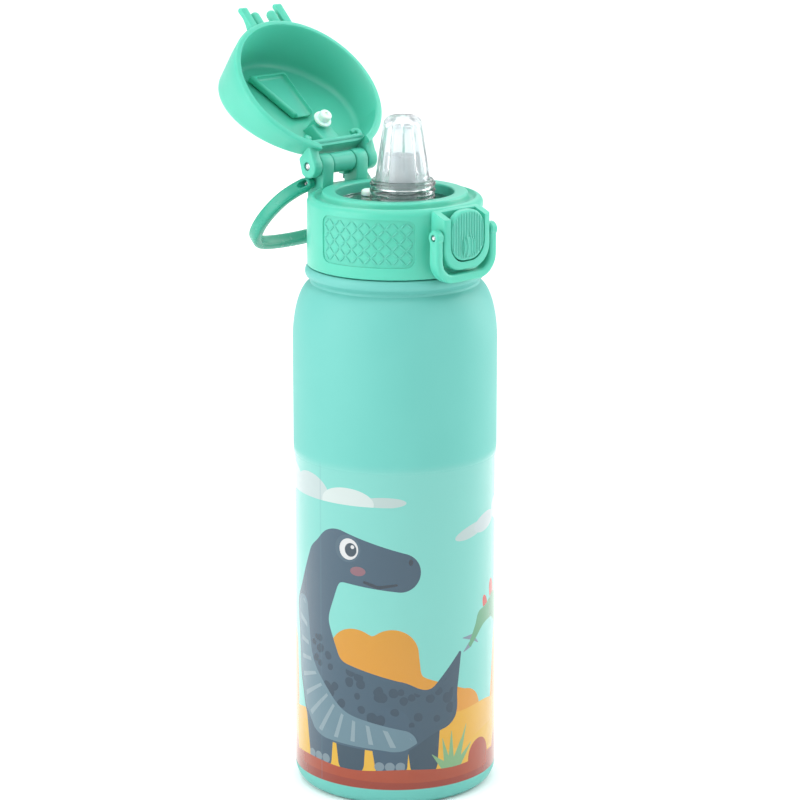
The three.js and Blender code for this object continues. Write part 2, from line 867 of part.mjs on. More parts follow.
// ---------------------------------------------------------------- cap, drawn closed

// A turned form whose heights are scaled so that its flat top slopes down to the hinge.
function slopedForm(outline) {
  const geometry = turnedGeometry(outline, roundSegments);
  const at = geometry.attributes.position;
  for (let i = 0; i < at.count; i += 1) {
    const lift = at.getZ(i) - rimHeight;
    at.setZ(i, rimHeight + lift * (1 - (capSlope * at.getY(i)) / capDepth));
  }
  return solid(geometry);
}

function ceilingAt(y) {
  return rimHeight + (capDepth - capWall) * (1 - (capSlope * y) / capDepth);
}

function earOutline() {
  const wallPlace = hingeBack - earRadius - 0.6;
  const shape = new THREE.Shape();
  shape.moveTo(wallPlace, rimHeight + 1);
  shape.lineTo(hingeBack, pinHeight - earRadius);
  shape.absarc(hingeBack, pinHeight, earRadius, -0.5 * Math.PI, 0.5 * Math.PI, false);
  shape.lineTo(wallPlace, pinHeight + 0.9);
  return shape;
}

function horn(x) {
  const base = rimHeight + 0.5;
  return acrossX(outlineShape([
    [-capRimRadius + 2.4, base],
    [-hornReach + 1, base],
    [-hornReach, base + 0.8],
    [-hornReach + 0.2, base + hornHeight - 0.5],
    [-hornReach + 1.1, base + hornHeight],
    [-capRimRadius - 3.5, base + hornHeight - 0.5],
    [-capRimRadius + 1.9, base + hornHeight + 1.4],
  ]), x - hornWidth / 2, x + hornWidth / 2);
}

function knob(x) {
  const length = knobReach - capRimRadius + 2.2;
  const geometry = new THREE.CapsuleGeometry(knobRadius, length - knobRadius, 4, 14);
  geometry.translate(x, -knobReach + knobRadius + (length - knobRadius) / 2, 0);
  geometry.translate(0, 0, rimHeight + 0.4 + knobRadius);
  return solid(geometry);
}

function capShell() {
  const top = rimHeight + capDepth;
  const outside = slopedForm([
    [0, rimHeight],
    [capRimRadius - 0.6, rimHeight],
    [capRimRadius, rimHeight + 0.6],
    ...arc(capTopRadius - capRounding, top - capRounding, capRounding, capRounding, 10, 90, 4),
    [0, top],
  ]);
  const within = capTopRadius - capWall;
  const innerRounding = 1.6;
  const cavity = slopedForm([
    [0, rimHeight - 1],
    [capRimRadius - capRimWall, rimHeight - 1],
    [capRimRadius - capRimWall, rimHeight + 0.5],
    ...arc(
      within - innerRounding, top - capWall - innerRounding, innerRounding, innerRounding, 10, 90, 2,
    ),
    [0, top - capWall],
  ]);
  const notchFront = hingeBack - postRadius - runGap - 0.3;
  const cheek = earInner + capNotchWall;
  const notchWall = block(
    -cheek, cheek, notchFront - capNotchWall, capRimRadius + 1, rimHeight + capNotchLift, top,
  );
  const notch = block(-earInner, earInner, notchFront, capRimRadius + 9, rimHeight - 1, top + 5);
  const ear = earOutline();
  const ears = [acrossX(ear, -earOuter, -earInner), acrossX(ear, earInner, earOuter)];
  const pinHole = rodX(hingePinRadius + touchGap, -earOuter - 1, earOuter + 1, hingeBack, pinHeight);
  const plugPost = rodZ(plugPostRadius, ventPlugTop(), ceilingAt(ventPlace) + 1, ventPlace, 20);
  const ramp = acrossX(outlineShape([
    [ventPlace, ventPlugTop() + 1.4],
    [notchFront - 1, rimHeight + capNotchLift + 1.2],
    [notchFront - 1, ceilingAt(notchFront) + 0.6],
    [ventPlace - 2, ceilingAt(ventPlace - 2) + 0.6],
  ]), -4, 4);
  const horns = [-1, 1].map((side) => horn(side * hornSpacing));
  const knobs = [-1, 1].map((side) => knob(side * knobSpacing));
  const hollow = cut(outside, cut(cavity, notchWall));
  return cut(join(cut(hollow, notch), ...ears, plugPost, ramp, ...horns, ...knobs), pinHole);
}

function ventPlugTop() {
  return plateTop + ventRise + 0.5 + plugLength;
}

function ventPlug() {
  const top = ventPlugTop() - touchGap;
  const tip = plateTop + ventRise + 0.5;
  return turned([
    [0, top],
    [plugFlange - 0.4, top],
    [plugFlange, top - 0.6],
    [plugFlange - 0.4, top - 1.2],
    [plugRadius, top - 1.3],
    [plugRadius, tip + 0.8],
    [plugRadius - 0.8, tip],
    [0, tip],
  ], 20, ventPlace);
}

// A trapezoid seen from below, between two heights.
function trapezoid(front, back, frontHalf, backHalf) {
  const shape = outlineShape([
    [-frontHalf, -front],
    [frontHalf, -front],
    [backHalf, back],
    [-backHalf, back],
  ]);
  const geometry = new THREE.ExtrudeGeometry(shape, { depth: 40, bevelEnabled: false });
  geometry.translate(0, 0, rimHeight);
  return solid(geometry);
}

// Everything between two sloping planes that lie a distance below the cap's ceiling.
function belowCeiling(near, far) {
  return acrossX(outlineShape([
    [-40, ceilingAt(-40) - far],
    [40, ceilingAt(40) - far],
    [40, ceilingAt(40) - near],
    [-40, ceilingAt(-40) - near],
  ]), -30, 30);
}

function spoutPresser() {
  const frontHalf = presserFrontWidth / 2;
  const backHalf = presserBackWidth / 2;
  const outer = trapezoid(presserFront, presserBack, frontHalf, backHalf)
    .intersect(belowCeiling(touchGap, presserDrop));
  const scoop = trapezoid(
    presserFront - presserWall, presserBack + 1, frontHalf - presserWall, backHalf - presserWall,
  ).intersect(belowCeiling(touchGap + presserWall, presserDrop + 1));
  return outer.subtract(scoop);
}

// ---------------------------------------------------------------- assembly

const group = new THREE.Group();

function part(name, body, material, parent = group) {
  const mesh = new THREE.Mesh(geometryOf(body), material);
  mesh.name = name;
  parent.add(mesh);
}

part('outer_shell', outerShell(), plastic(mint, 0.55));
part('inner_liner', innerLiner(), steel(0.35));
part('base_plate', basePlate(), plastic(mint, 0.55));

part('lid_gasket', lidGasket(), plastic(0xf2f4f2, 0.6));

part('lid_collar', lidCollar(), plastic(mint));
part('clear_insert', clearInsert(), clearPlastic(0xe6eeec, 0.45));
part('spout_nut', spoutNut(), clearPlastic(0xdfe9e6, 0.45));
part('silicone_spout', siliconeSpout(), clearPlastic(0xdcecf6, 0.5));
part('spout_stem', spoutStem(), clearPlastic(0xf4f7f8, 0.85));
part('straw_tube', strawTube(), clearPlastic(0xf4f7f8, 0.7));
part('vent_valve', ventValve(), plastic(0xf2f4f2, 0.6));

const pinSpan = earOuter - touchGap;
part('hinge_pin', rodX(hingePinRadius, -pinSpan, pinSpan, hingeBack, pinHeight), steel());
part('hinge_barrel', hingeBarrel(), plastic(deepMint));
part('hinge_spring', hingeSpring(), steel(0.3));

const latchPinSpan = bailOuter - 0.2;
part(
  'latch_pin',
  rodX(latchPinRadius, -latchPinSpan, latchPinSpan, -latchPinBack, latchPinZ, 16),
  steel(),
);
part('latch_spring', latchSpring(), steel(0.3));
for (const [side, sign] of [['left', -1], ['right', 1]]) {
  const ends = [sign * (postInner + 1.3), sign * (handleEyeInner + handleEyeThickness - 0.3)];
  ends.sort((a, b) => a - b);
  part(`handle_pin_${side}`, rodX(handlePinRadius, ...ends, handleBack, handlePivotZ, 16), steel());
}

part('latch_button', latchButton(), plastic(mint));
part('lock_bail', lockBail(), plastic(mint));
part('carry_handle', carryHandle(), plastic(deepMint));

// The cap's group turns on the hinge pin; its pieces are drawn closed.
const cap = new THREE.Group();
cap.position.set(0, hingeBack, pinHeight);
cap.rotation.x = THREE.MathUtils.degToRad(-openAngle);
const capFrame = new THREE.Group();
capFrame.position.set(0, -hingeBack, -pinHeight);
cap.add(capFrame);
group.add(cap);

part('cap_shell', capShell(), plastic(mint), capFrame);
part('spout_presser', spoutPresser(), plastic(mint), capFrame);
part('vent_plug', ventPlug(), plastic(0xeef4f0, 0.5), capFrame);

export default group;
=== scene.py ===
# %% [markdown]
# # A child's insulated water bottle
#
# The bottle is a steel flask with a screw lid. On the lid stand a soft drinking spout, a flip cap on a
# sprung hinge, a latch with a lock bail, and a carry loop. The solids that decide its size are packed
# already, so this lesson loads them as a fixed frame and dresses them: finer meshes and real finishes.
# We could also model it all afresh here, but then the pieces would no longer fit the joints.

# %% Load the frame
import json
import math

import bmesh
import bpy
from mathutils import Matrix, Vector


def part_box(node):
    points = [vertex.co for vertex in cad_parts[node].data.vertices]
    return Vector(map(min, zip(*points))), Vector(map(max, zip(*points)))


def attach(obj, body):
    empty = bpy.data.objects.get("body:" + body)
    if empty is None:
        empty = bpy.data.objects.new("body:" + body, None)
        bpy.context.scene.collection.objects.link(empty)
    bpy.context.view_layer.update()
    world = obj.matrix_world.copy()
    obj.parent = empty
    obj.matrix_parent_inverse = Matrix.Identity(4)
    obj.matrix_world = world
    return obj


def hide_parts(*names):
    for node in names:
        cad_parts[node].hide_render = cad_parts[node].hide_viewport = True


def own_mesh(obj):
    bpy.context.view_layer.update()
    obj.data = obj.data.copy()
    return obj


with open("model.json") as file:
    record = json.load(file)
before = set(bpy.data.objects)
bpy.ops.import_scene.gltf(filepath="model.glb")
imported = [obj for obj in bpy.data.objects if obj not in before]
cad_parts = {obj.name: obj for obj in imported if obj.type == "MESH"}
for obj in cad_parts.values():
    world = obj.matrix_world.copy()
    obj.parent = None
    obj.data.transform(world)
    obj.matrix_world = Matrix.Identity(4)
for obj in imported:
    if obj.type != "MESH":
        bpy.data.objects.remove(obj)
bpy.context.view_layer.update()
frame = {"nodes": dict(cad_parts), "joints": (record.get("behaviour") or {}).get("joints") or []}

# %% [markdown]
# ## The camera, the floor and the light
#
# A portrait of a small object is taken from far away with a long lens, so that it keeps its proportions.
# The camera stands over a metre off, a little above the lid, and looks down by 14 degrees.

# %% Set up the camera
MM = 0.001
CAMERA_TURN = math.radians(-43)
CAMERA_DISTANCE = 1.171
CAMERA_HEIGHT = 0.434
CAMERA_PITCH = math.radians(14.04)
CAMERA_YAW = math.radians(-0.087)

towards_camera = Vector((math.sin(CAMERA_TURN), -math.cos(CAMERA_TURN), 0))
lens = bpy.data.cameras.new("camera")
lens.lens = 151.6
lens.sensor_width = 36
camera = bpy.data.objects.new("camera", lens)
bpy.context.collection.objects.link(camera)
camera.location = towards_camera * CAMERA_DISTANCE + Vector((0, 0, CAMERA_HEIGHT))
camera.rotation_euler = (math.pi / 2 - CAMERA_PITCH, 0, CAMERA_TURN + CAMERA_YAW)
bpy.context.scene.camera = camera
print("camera at", [round(value, 3) for value in camera.location])

# %% [markdown]
# The floor is one large pale sheet that runs past every edge of the view, as a paper sweep does.

# %% Lay the floor
FLOOR_HALF = 9

sheet = bpy.data.meshes.new("floor")
corners = [(-FLOOR_HALF, -FLOOR_HALF, 0), (FLOOR_HALF, -FLOOR_HALF, 0),
           (FLOOR_HALF, FLOOR_HALF, 0), (-FLOOR_HALF, FLOOR_HALF, 0)]
sheet.from_pydata(corners, [], [(0, 1, 2, 3)])
floor = bpy.data.objects.new("floor", sheet)
bpy.context.collection.objects.link(floor)
print("floor laid")

# %% [markdown]
# Soft boxes make long straight streaks on a glossy cylinder and smooth shading on a matt one. A sky alone
# would be softer still, but then nothing would draw the streaks. So a large box stands to the left, a
# tall strip behind on the right, and one box hangs overhead. A wide one behind only whitens the floor,
# and a pale sky fills what is left.

# %% Hang the lights


def soft_box(name, turn, distance, height, width, tall, watts, straight_down=False):
    """A rectangle of light, turned about the bottle from the camera's side and aimed at the bottle."""
    light = bpy.data.lights.new(name, "AREA")
    light.shape = "RECTANGLE"
    light.size, light.size_y, light.energy = width, tall, watts
    lamp = bpy.data.objects.new(name, light)
    bpy.context.collection.objects.link(lamp)
    angle = CAMERA_TURN + math.radians(turn)
    lamp.location = (math.sin(angle) * distance, -math.cos(angle) * distance, height)
    aim = Vector((0, 0, 0.15)) - lamp.location
    if not straight_down:
        lamp.rotation_euler = aim.to_track_quat("-Z", "Y").to_euler()
    return lamp


soft_box("left_box", -64, 1.5, 0.55, 1.45, 1.8, 21)
soft_box("right_strip", 112, 1.5, 0.5, 1.0, 1.9, 18)
soft_box("right_fill", 58, 2.2, 0.9, 1.2, 1.6, 8)
soft_box("top_box", -10, 0.55, 1.9, 1.8, 1.8, 12)
soft_box("floor_wash", 180, 3.4, 2.6, 6, 4.5, 95, straight_down=True)

sky = bpy.data.worlds.new("sky")
sky.use_nodes = True
sky.node_tree.nodes["Background"].inputs["Color"].default_value = (0.97, 0.985, 1, 1)
sky.node_tree.nodes["Background"].inputs["Strength"].default_value = 0.72
bpy.context.scene.world = sky
bpy.context.scene.view_settings.view_transform = "Standard"

# %% [markdown]
# ## Writing a finish as sums
#
# A finish is a graph of small nodes. Wired by hand, a sum such as one minus a mask takes three lines.
# So one small class holds a socket and lets Python's own signs add the Math nodes.

# %% A socket that can be added and multiplied


class Wire:
    """One output of a finish, which sums like a number."""

    def __init__(self, finish, socket):
        self.finish, self.socket = finish, socket

    def math(self, operation, *others):
        return self.finish.node("ShaderNodeMath", {"operation": operation}, [self, *others])

    def __add__(self, other):
        return self.math("ADD", other)

    def __sub__(self, other):
        return self.math("SUBTRACT", other)

    def __mul__(self, other):
        return self.math("MULTIPLY", other)

    def __truediv__(self, other):
        return self.math("DIVIDE", other)

    def __rsub__(self, other):
        return self.finish.node("ShaderNodeMath", {"operation": "SUBTRACT"}, [other, self])

    __radd__ = __add__
    __rmul__ = __mul__

    def __lt__(self, other):
        return self.math("LESS_THAN", other)

    def __gt__(self, other):
        return self.math("GREATER_THAN", other)

    def __and__(self, other):
        return self.math("MINIMUM", other)

    def __or__(self, other):
        return self.math("MAXIMUM", other)

    def melt(self, other, reach):
        """The smaller of two distances, with a soft fillet where they meet."""
        return self.math("SMOOTH_MIN", other, reach)

    def ramp(self, low, high):
        """From 0 at low to 1 at high, in a soft curve."""
        return self.finish.node("ShaderNodeMapRange", {"interpolation_type": "SMOOTHSTEP"},
                                {"Value": self, "From Min": low, "From Max": high})


print("sums ready")

# %% [markdown]
# Every finish starts as one Principled shader. What is the same all over goes on its sockets as a plain
# number, and what changes over the surface comes in by a wire.

# %% A finish and its nodes


def ink(code):
    """A colour written as six hexadecimal digits, in the linear numbers that a shader wants."""
    parts = [int(code[i:i + 2], 16) / 255 for i in (0, 2, 4)]
    return tuple(p / 12.92 if p <= 0.04045 else ((p + 0.055) / 1.055) ** 2.4 for p in parts) + (1,)


class Finish:
    """A material whose nodes are written one call at a time."""

    def __init__(self, name, **constants):
        self.material = bpy.data.materials.new(name)
        self.material.use_nodes = True
        self.tree = self.material.node_tree
        self.tree.nodes.clear()
        self.shader = self.tree.nodes.new("ShaderNodeBsdfPrincipled")
        end = self.tree.nodes.new("ShaderNodeOutputMaterial")
        self.tree.links.new(self.shader.outputs[0], end.inputs["Surface"])
        for socket, value in constants.items():
            self.shader.inputs[socket.replace("_", " ")].default_value = value
        place = self.node("ShaderNodeTexCoord", output="Object")
        self.place = self.node("ShaderNodeVectorMath", {"operation": "SCALE"}, {0: place, "Scale": 1 / MM})

    def plug(self, value, socket):
        if isinstance(value, Wire):
            self.tree.links.new(value.socket, socket)
        else:
            socket.default_value = value

    def node(self, kind, settings=None, inputs=None, output=0):
        """Adds a node: its settings first, then the values or wires of its sockets."""
        node = self.tree.nodes.new(kind)
        for name, value in (settings or {}).items():
            setattr(node, name, value)
        if not isinstance(inputs, dict):
            inputs = dict(enumerate(inputs or []))
        for name, value in inputs.items():
            self.plug(value, node.inputs[name])
        return Wire(self, node.outputs[output])

    def axes(self):
        split = self.node("ShaderNodeSeparateXYZ", inputs=[self.place])
        return [split] + [Wire(self, split.socket.node.outputs[i]) for i in (1, 2)]

    def mix(self, share, under, over):
        """A colour between two others."""
        node = self.tree.nodes.new("ShaderNodeMix")
        node.data_type = "RGBA"
        for value, index in ((share, 0), (under, 6), (over, 7)):
            self.plug(value, node.inputs[index])
        return Wire(self, node.outputs[2])

    def grain(self, size, detail=3.0, rough=0.5, stretch=(1, 1, 1)):
        """Soft noise with lumps of about this size in millimetres."""
        where = self.node("ShaderNodeVectorMath", {"operation": "MULTIPLY"}, [self.place, stretch])
        return self.node("ShaderNodeTexNoise", inputs={
            "Vector": where, "Scale": 1 / size, "Detail": detail, "Roughness": rough})

    def relief(self, height, tall, rounding=0.0):
        """Bumps of a height in millimetres, over edges that catch the light as rounded ones."""
        inputs = {"Strength": 1.0, "Distance": tall * MM, "Height": height}
        if rounding:
            inputs["Normal"] = self.node("ShaderNodeBevel", {"samples": 6}, {"Radius": rounding * MM})
        self.plug(self.node("ShaderNodeBump", inputs=inputs), self.shader.inputs["Normal"])

    def feed(self, **wires):
        for socket, value in wires.items():
            self.plug(value, self.shader.inputs[socket.replace("_", " ")])
        return self


print("finishes ready")

# %% [markdown]
# The floor's own finish is an almost white paper, with a faint mottle so that it isn't one flat colour.

# %% Finish the floor
paper = Finish("paper", Roughness=0.9)
paper.feed(Base_Color=paper.mix(paper.grain(220), ink("f7f8f8"), ink("fdfdfd")))
floor.data.materials.append(paper.material)
print("floor finished")

# %% [markdown]
# ## Measuring from the frame
#
# Every place comes from the frame: the boxes of its nodes and the pivots of its joints, here in
# millimetres. Sizes of small details, such as a rib's width, are named where they are used.

# %% Read the places of the pieces


def low_high(node):
    low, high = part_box(node)
    return Vector(low) / MM, Vector(high) / MM


joints = {joint["name"]: joint for joint in frame["joints"]}
hinge = Vector(joints["cap_hinge"]["pos_m"]) / MM
latch_pivot = Vector(joints["button_press"]["pos_m"]) / MM
handle_pivot = Vector(joints["handle_swing"]["pos_m"]) / MM
cap_swing = joints["cap_hinge"]["range_deg"][1]
HINGE_PIN, HINGE_BORE, SMALL_PIN, SMALL_BORE = 1.25, 1.55, 0.9, 1.2

shell_high = low_high("outer_shell")[1]
collar_low = low_high("lid_collar")[0]
insert_low, insert_high = low_high("clear_insert")
nut_low, nut_high = low_high("spout_nut")

BODY_RADIUS = shell_high.x
COLLAR_HEIGHT = 24.6
collar_bottom = collar_low.z
collar_top = collar_bottom + COLLAR_HEIGHT
spout_y = (nut_low.y + nut_high.y) / 2
print("body radius", round(BODY_RADIUS, 2), "collar from", round(collar_bottom, 1),
      "to", round(collar_top, 1))

# %% [markdown]
# ## The body's finish: powder coat and a printed film
#
# The real flask is powder coated, which gives a fine matt orange peel. A glossy film with a picture is
# wrapped round its lower part. A scan of a print could be wrapped on as an image, but a picture
# that is worked out from distances stays sharp at any size. So we unroll the wall into a flat sheet:
# the way round in millimetres, and the height.

# %% Unroll the wall
PRINT_LOW, PRINT_HIGH, SEAM_AT = 6.5, 125, 29.5

body = Finish("powder_coat_and_print", IOR=1.38, Coat_Roughness=0.04, Coat_IOR=1.48)
east, north, height = body.axes()
sideways = east * math.cos(CAMERA_TURN) + north * math.sin(CAMERA_TURN)
frontwards = east * math.sin(CAMERA_TURN) - north * math.cos(CAMERA_TURN)
turn_round = sideways.math("ARCTAN2", frontwards)
across = turn_round * BODY_RADIUS
spot = body.node("ShaderNodeCombineXYZ", inputs=[across, height, 0.0])
print("the sheet is", round(2 * math.pi * BODY_RADIUS), "mm round")

# %% [markdown]
# Two kinds of distance draw everything: to a limb, which is a line whose thickness changes from one end
# to the other, and to a tilted oval. Limbs that melt together make a soft animal; a distance below
# zero is inside. A shader with too many nodes may render black, so the land repeats twice round the wall,
# by wrapping the way round into one half of it.

# %% Distances to limbs and ovals
half_round = math.pi * BODY_RADIUS
folded = body.node("ShaderNodeMath", {"operation": "WRAP"}, [across, half_round / 2, -half_round / 2])
land_spot = body.node("ShaderNodeCombineXYZ", inputs=[folded, height, 0.0])


def limb(start, end, thick, thin, where=spot):
    span = Vector((end[0] - start[0], end[1] - start[1], 0))
    off = body.node("ShaderNodeVectorMath", {"operation": "SUBTRACT"}, [where, (*start, 0)])
    reach = body.node("ShaderNodeVectorMath", {"operation": "DOT_PRODUCT"},
                      [off, tuple(span / span.length_squared)], 1)
    along = reach.math("MAXIMUM", 0) & 1
    foot = body.node("ShaderNodeVectorMath", {"operation": "SCALE"}, {0: tuple(span), "Scale": along})
    gap = body.node("ShaderNodeVectorMath", {"operation": "DISTANCE"}, [off, foot], 1)
    return gap - (along * (thin - thick) + thick if thin != thick else thick)


def oval(middle, radii, tilt=0, where=spot):
    moved = body.node("ShaderNodeMapping", {"vector_type": "TEXTURE"}, {
        "Vector": where, "Location": (*middle, 0), "Rotation": (0, 0, math.radians(tilt)),
        "Scale": (*radii, 1)})
    return (body.node("ShaderNodeVectorMath", {"operation": "LENGTH"}, [moved], 1) - 1) * min(radii)


def melted(pieces, reach=4):
    whole = pieces[0]
    for piece in pieces[1:]:
        whole = whole.melt(piece, reach)
    return whole


def nearest(pieces):
    whole = pieces[0]
    for piece in pieces[1:]:
        whole = whole & piece
    return whole


print("half way round is", round(half_round), "mm")

# %% [markdown]
# The picture is painted from the back forwards: sky, clouds, sandstone buttes, dunes, a far animal,
# a near animal, grass and the ground. Each layer covers the last where its distance is below zero.

# %% Paint the land
paint = body.mix((height - 62) * 0.008, ink("6ab4aa"), ink("62b0a6"))


def cover(distance, colour):
    global paint
    paint = body.mix(distance < 0, paint, colour)


left_cloud = [oval(middle, radii, where=land_spot) for middle, radii in (
    ((-52, 113), (12, 8.5)), ((62.7, 113), (12, 8.5)), ((-36, 112), (11, 8.2)))]
cover(nearest(left_cloud) | (111.2 - height), ink("a1b1b0"))
cover(oval((-4, 113), (8, 1.9), where=land_spot) | (111.2 - height), ink("9dafac"))
cover(oval((-18, 112), (10.5, 5.4), where=land_spot) | (111.2 - height), ink("b2bebb"))
cover(oval((31, 99.6), (8.5, 2.3), 12, land_spot), ink("9dafad"))
cover(oval((39, 101.2), (7, 3.2), 12, land_spot) & oval((50.5, 104.2), (5.8, 4.6), 0, land_spot),
      ink("a2b0b1"))

wave = (turn_round * 2 + 0.6).math("SINE")
ripple = (turn_round * 6 + 1.1).math("SINE")
buttes = melted([limb((-17, 34), (-15, 56), 13, 10, land_spot), limb((0, 34), (-1, 57), 11, 9.5, land_spot),
                 limb((8, 34), (27, 33), 15, 8.5, land_spot), limb((-58, 34), (-57, 52), 12, 10, land_spot),
                 limb((56.7, 34), (57.7, 52), 12, 10, land_spot)], 3)
cover(buttes, body.mix((height - 25) * 0.025, ink("c08014"), ink("b67e03")))
cover(height - 32.5 - wave * 2.2 - ripple * 1.2, body.mix(ripple * 0.35 + 0.4, ink("c29109"), ink("c59b41")))
cover(height - 23.5 + wave * 2.0 - ripple * 1.6, body.mix(wave * 0.3 + 0.45, ink("c09717"), ink("c59829")))
print("land painted with", len(body.tree.nodes), "nodes")

# %% [markdown]
# Both animals are cartoon dinosaurs, put together from limbs and ovals. The green one keeps its row of red
# plates behind its back, so the plates are painted first.

# %% Paint the far animal
cover(nearest([oval(middle, radii, tilt) for middle, radii, tilt in (
    ((39.5, 70.5), (1.7, 3.4), 18), ((45, 74.3), (2, 4.2), 8), ((52, 76), (2.4, 5), -6),
    ((60.5, 74.5), (2.9, 5.6), -4), ((70, 72), (3.2, 6), 0), ((80, 70), (3, 5.6), -8),
    ((89.5, 65.5), (2.5, 4.8), -20))]), ink("ae3224"))
cover(nearest([limb(start, end, 1.1, 0.15) for start, end in (
    ((31, 60), (26.4, 60.6)), ((31, 60), (34.6, 57.2)), ((30, 57.4), (26.8, 55.4)))]), ink("647683"))
green_one = melted([limb((65, 56), (84, 53), 13, 12), limb((60, 60), (47, 68.5), 8, 4),
                    limb((47, 68.5), (37, 66), 4, 2.6), limb((37, 66), (30.2, 57.5), 2.6, 0.9),
                    limb((88, 53), (100, 48), 9, 6.5), limb((101, 47.5), (106, 46), 6.6, 4.8)], 3)
cover(limb((70, 50), (71, 38), 5.4, 4.4) & limb((89, 50), (90, 38), 5.4, 4.4), ink("316f4e"))
cover(green_one, ink("458760"))
cover(green_one | oval((76, 45), (17, 7)), ink("70a17c"))
cover(limb((64, 50), (64, 38), 6, 5) & limb((82, 50), (82, 38), 6, 5), ink("3e8059"))
cover(oval((102.5, 50.5), (1.7, 1.7)), ink("c5c7c5"))
cover(oval((103, 50.4), (0.9, 0.9)), ink("223a36"))
print("far animal painted with", len(body.tree.nodes), "nodes")

# %% [markdown]
# The slate one stands in front, with a pale striped belly, dark spots on its back, and its head turned
# to look over its tail.

# %% Paint the near animal
cover(limb((-17, 30), (-16.5, 16), 6.6, 5.2) & limb((10, 30), (10.5, 16), 6.6, 5.2), ink("1a3848"))
slate = melted([limb((-25, 38), (-1, 34), 16, 13.5), limb((-31, 46), (-36, 68), 12.5, 9.2),
                limb((-36, 68), (-28, 88), 9.2, 8.4), limb((-22, 92.5), (2, 87.5), 9.4, 7.2),
                limb((1, 33), (16, 36), 12, 7.4), limb((16, 36), (25, 55.5), 7.4, 0.6)], 3.5)
cover(slate, body.mix((across + 30) * 0.02, ink("2f4b5c"), ink("203e4f")))
cover(limb((-31, 30), (-30.5, 16), 7.6, 5.9) & limb((-2, 30), (-1.5, 16), 7.6, 5.9), ink("284557"))
toe = (folded + 16.5).math("PINGPONG", 14.6) - 14.6
toe_spot = body.node("ShaderNodeCombineXYZ", inputs=[toe, height, 0.0])
cover((nearest([oval((x, 15.2), (1.8, 1.7), 0, toe_spot) for x in (0, -3.8)])
       | ((across + 16.5).math("ABSOLUTE") - 20)), ink("63767f"))
spots = body.node("ShaderNodeTexVoronoi", {"voronoi_dimensions": "2D"}, {"Vector": spot, "Scale": 0.19})
blotch = body.node("ShaderNodeTexNoise", {"noise_dimensions": "2D"}, {"Vector": spot, "Scale": 0.11})
on_back = (slate + 2) | (30 - height) | ((height - 62) & (across + 39) | (height - 90))
cover(on_back | (spots - blotch * 0.62), ink("153344"))
belly = melted([limb((-41, 70), (-41, 46), 3.6, 7), limb((-41, 46), (-24, 27), 8, 8),
                limb((-24, 27), (2, 23), 8, 6)], 5)
belly_inside = (slate + 0.7) | belly
cover(belly_inside, ink("516f7b"))
fan = body.node("ShaderNodeVectorMath", {"operation": "SUBTRACT"}, [spot, (-14, 52, 0)])
fan_x, fan_z = [body.node("ShaderNodeSeparateXYZ", inputs=[fan], output=i) for i in (0, 1)]
stripe = (fan_z.math("ARCTAN2", fan_x) * 26).math("SINE")
cover((belly_inside + 1.6) | (0.72 - stripe), ink("72878e"))
cover(oval((-17.5, 95.4), (5, 5)), ink("375160"))
cover(oval((-17, 95.2), (3.7, 3.9)), ink("bcbebe"))
cover(oval((-16.2, 95), (2.3, 2.5)), ink("1e3441"))
cover(oval((-15.5, 96.1), (0.7, 0.7)), ink("bcbebe"))
cover(oval((-13.5, 87.4), (2.9, 1.7)), ink("75505a"))
smile = nearest([limb((-11, 83.6), (-6, 82), 0.55, 0.6), limb((-6, 82), (0.5, 83), 0.6, 0.45)])
cover(smile & oval((5.6, 91.2), (0.8, 1.1)), ink("102735"))
print("near animal painted with", len(body.tree.nodes), "nodes")

# %% [markdown]
# Grass, mounds and the ground close the picture at the bottom.

# %% Paint the grass and the ground
GRASS_AT = 21
blades = [limb((GRASS_AT + lean * 0.35, 14), (GRASS_AT + lean, 14 + tall), 1.5, 0.1, land_spot)
          for lean, tall in ((-7.5, 5), (-3.4, 10.5), (0.4, 12.8), (4.6, 8.6), (7.2, 14), (9.8, 6.5))]
cover(nearest(blades), ink("6a9568"))
ground = nearest([height - 13.6 - ripple * 0.5, oval((35.5, 14), (6.2, 6.8), 0, land_spot),
                  oval((57.3, 12), (10.5, 9), 0, land_spot), oval((-57.3, 12), (10.5, 9), 0, land_spot)])
cover(ground, body.mix(body.grain(9) * 0.6, ink("8f2f04"), ink("943a0e")))
cover(height - 9.4 + wave * 0.5, ink("812504"))
print("ground painted with", len(body.tree.nodes), "nodes")

# %% [markdown]
# Last come the two surfaces. The film is smooth with a clear coat, and shows a hair of its overlap as an
# upright line. The powder coat above and below is matt with fine peel. Where the film ends, the
# roughness changes over a few millimetres.

# %% Finish the body
film = (height - PRINT_LOW).ramp(-0.15, 0.15) * (PRINT_HIGH - height).ramp(-1.5, 2.5)
mint = body.mix(body.grain(26, 2), ink("5fafa5"), ink("66b5ab"))
seam = 1 - ((across + SEAM_AT).math("ABSOLUTE")).ramp(0.1, 0.55)
printed = body.mix(seam * 0.16, paint, ink("3c6a78"))
peel = body.grain(0.55, 4, 0.6)
drawn = body.grain(1.4, 3, stretch=(1, 1, 0.012))
body.feed(
    Base_Color=body.mix(film, mint, printed),
    Roughness=0.47 - film * 0.23 + (peel - 0.5) * 0.06,
    Coat_Weight=film * 0.9)
body.relief(peel * (1 - film * 0.93) + drawn * film * 0.1, 0.03)
print("body finish has", len(body.tree.nodes), "nodes")

# %% [markdown]
# ## The other finishes
#
# The lid's plastic is moulded with a satin skin. It glows a little from inside, so its shaded hollows stay
# green rather than grey, and a trace of scattering under the skin does that. The handle is the same
# plastic in a deeper tint.

# %% Finish the plastics


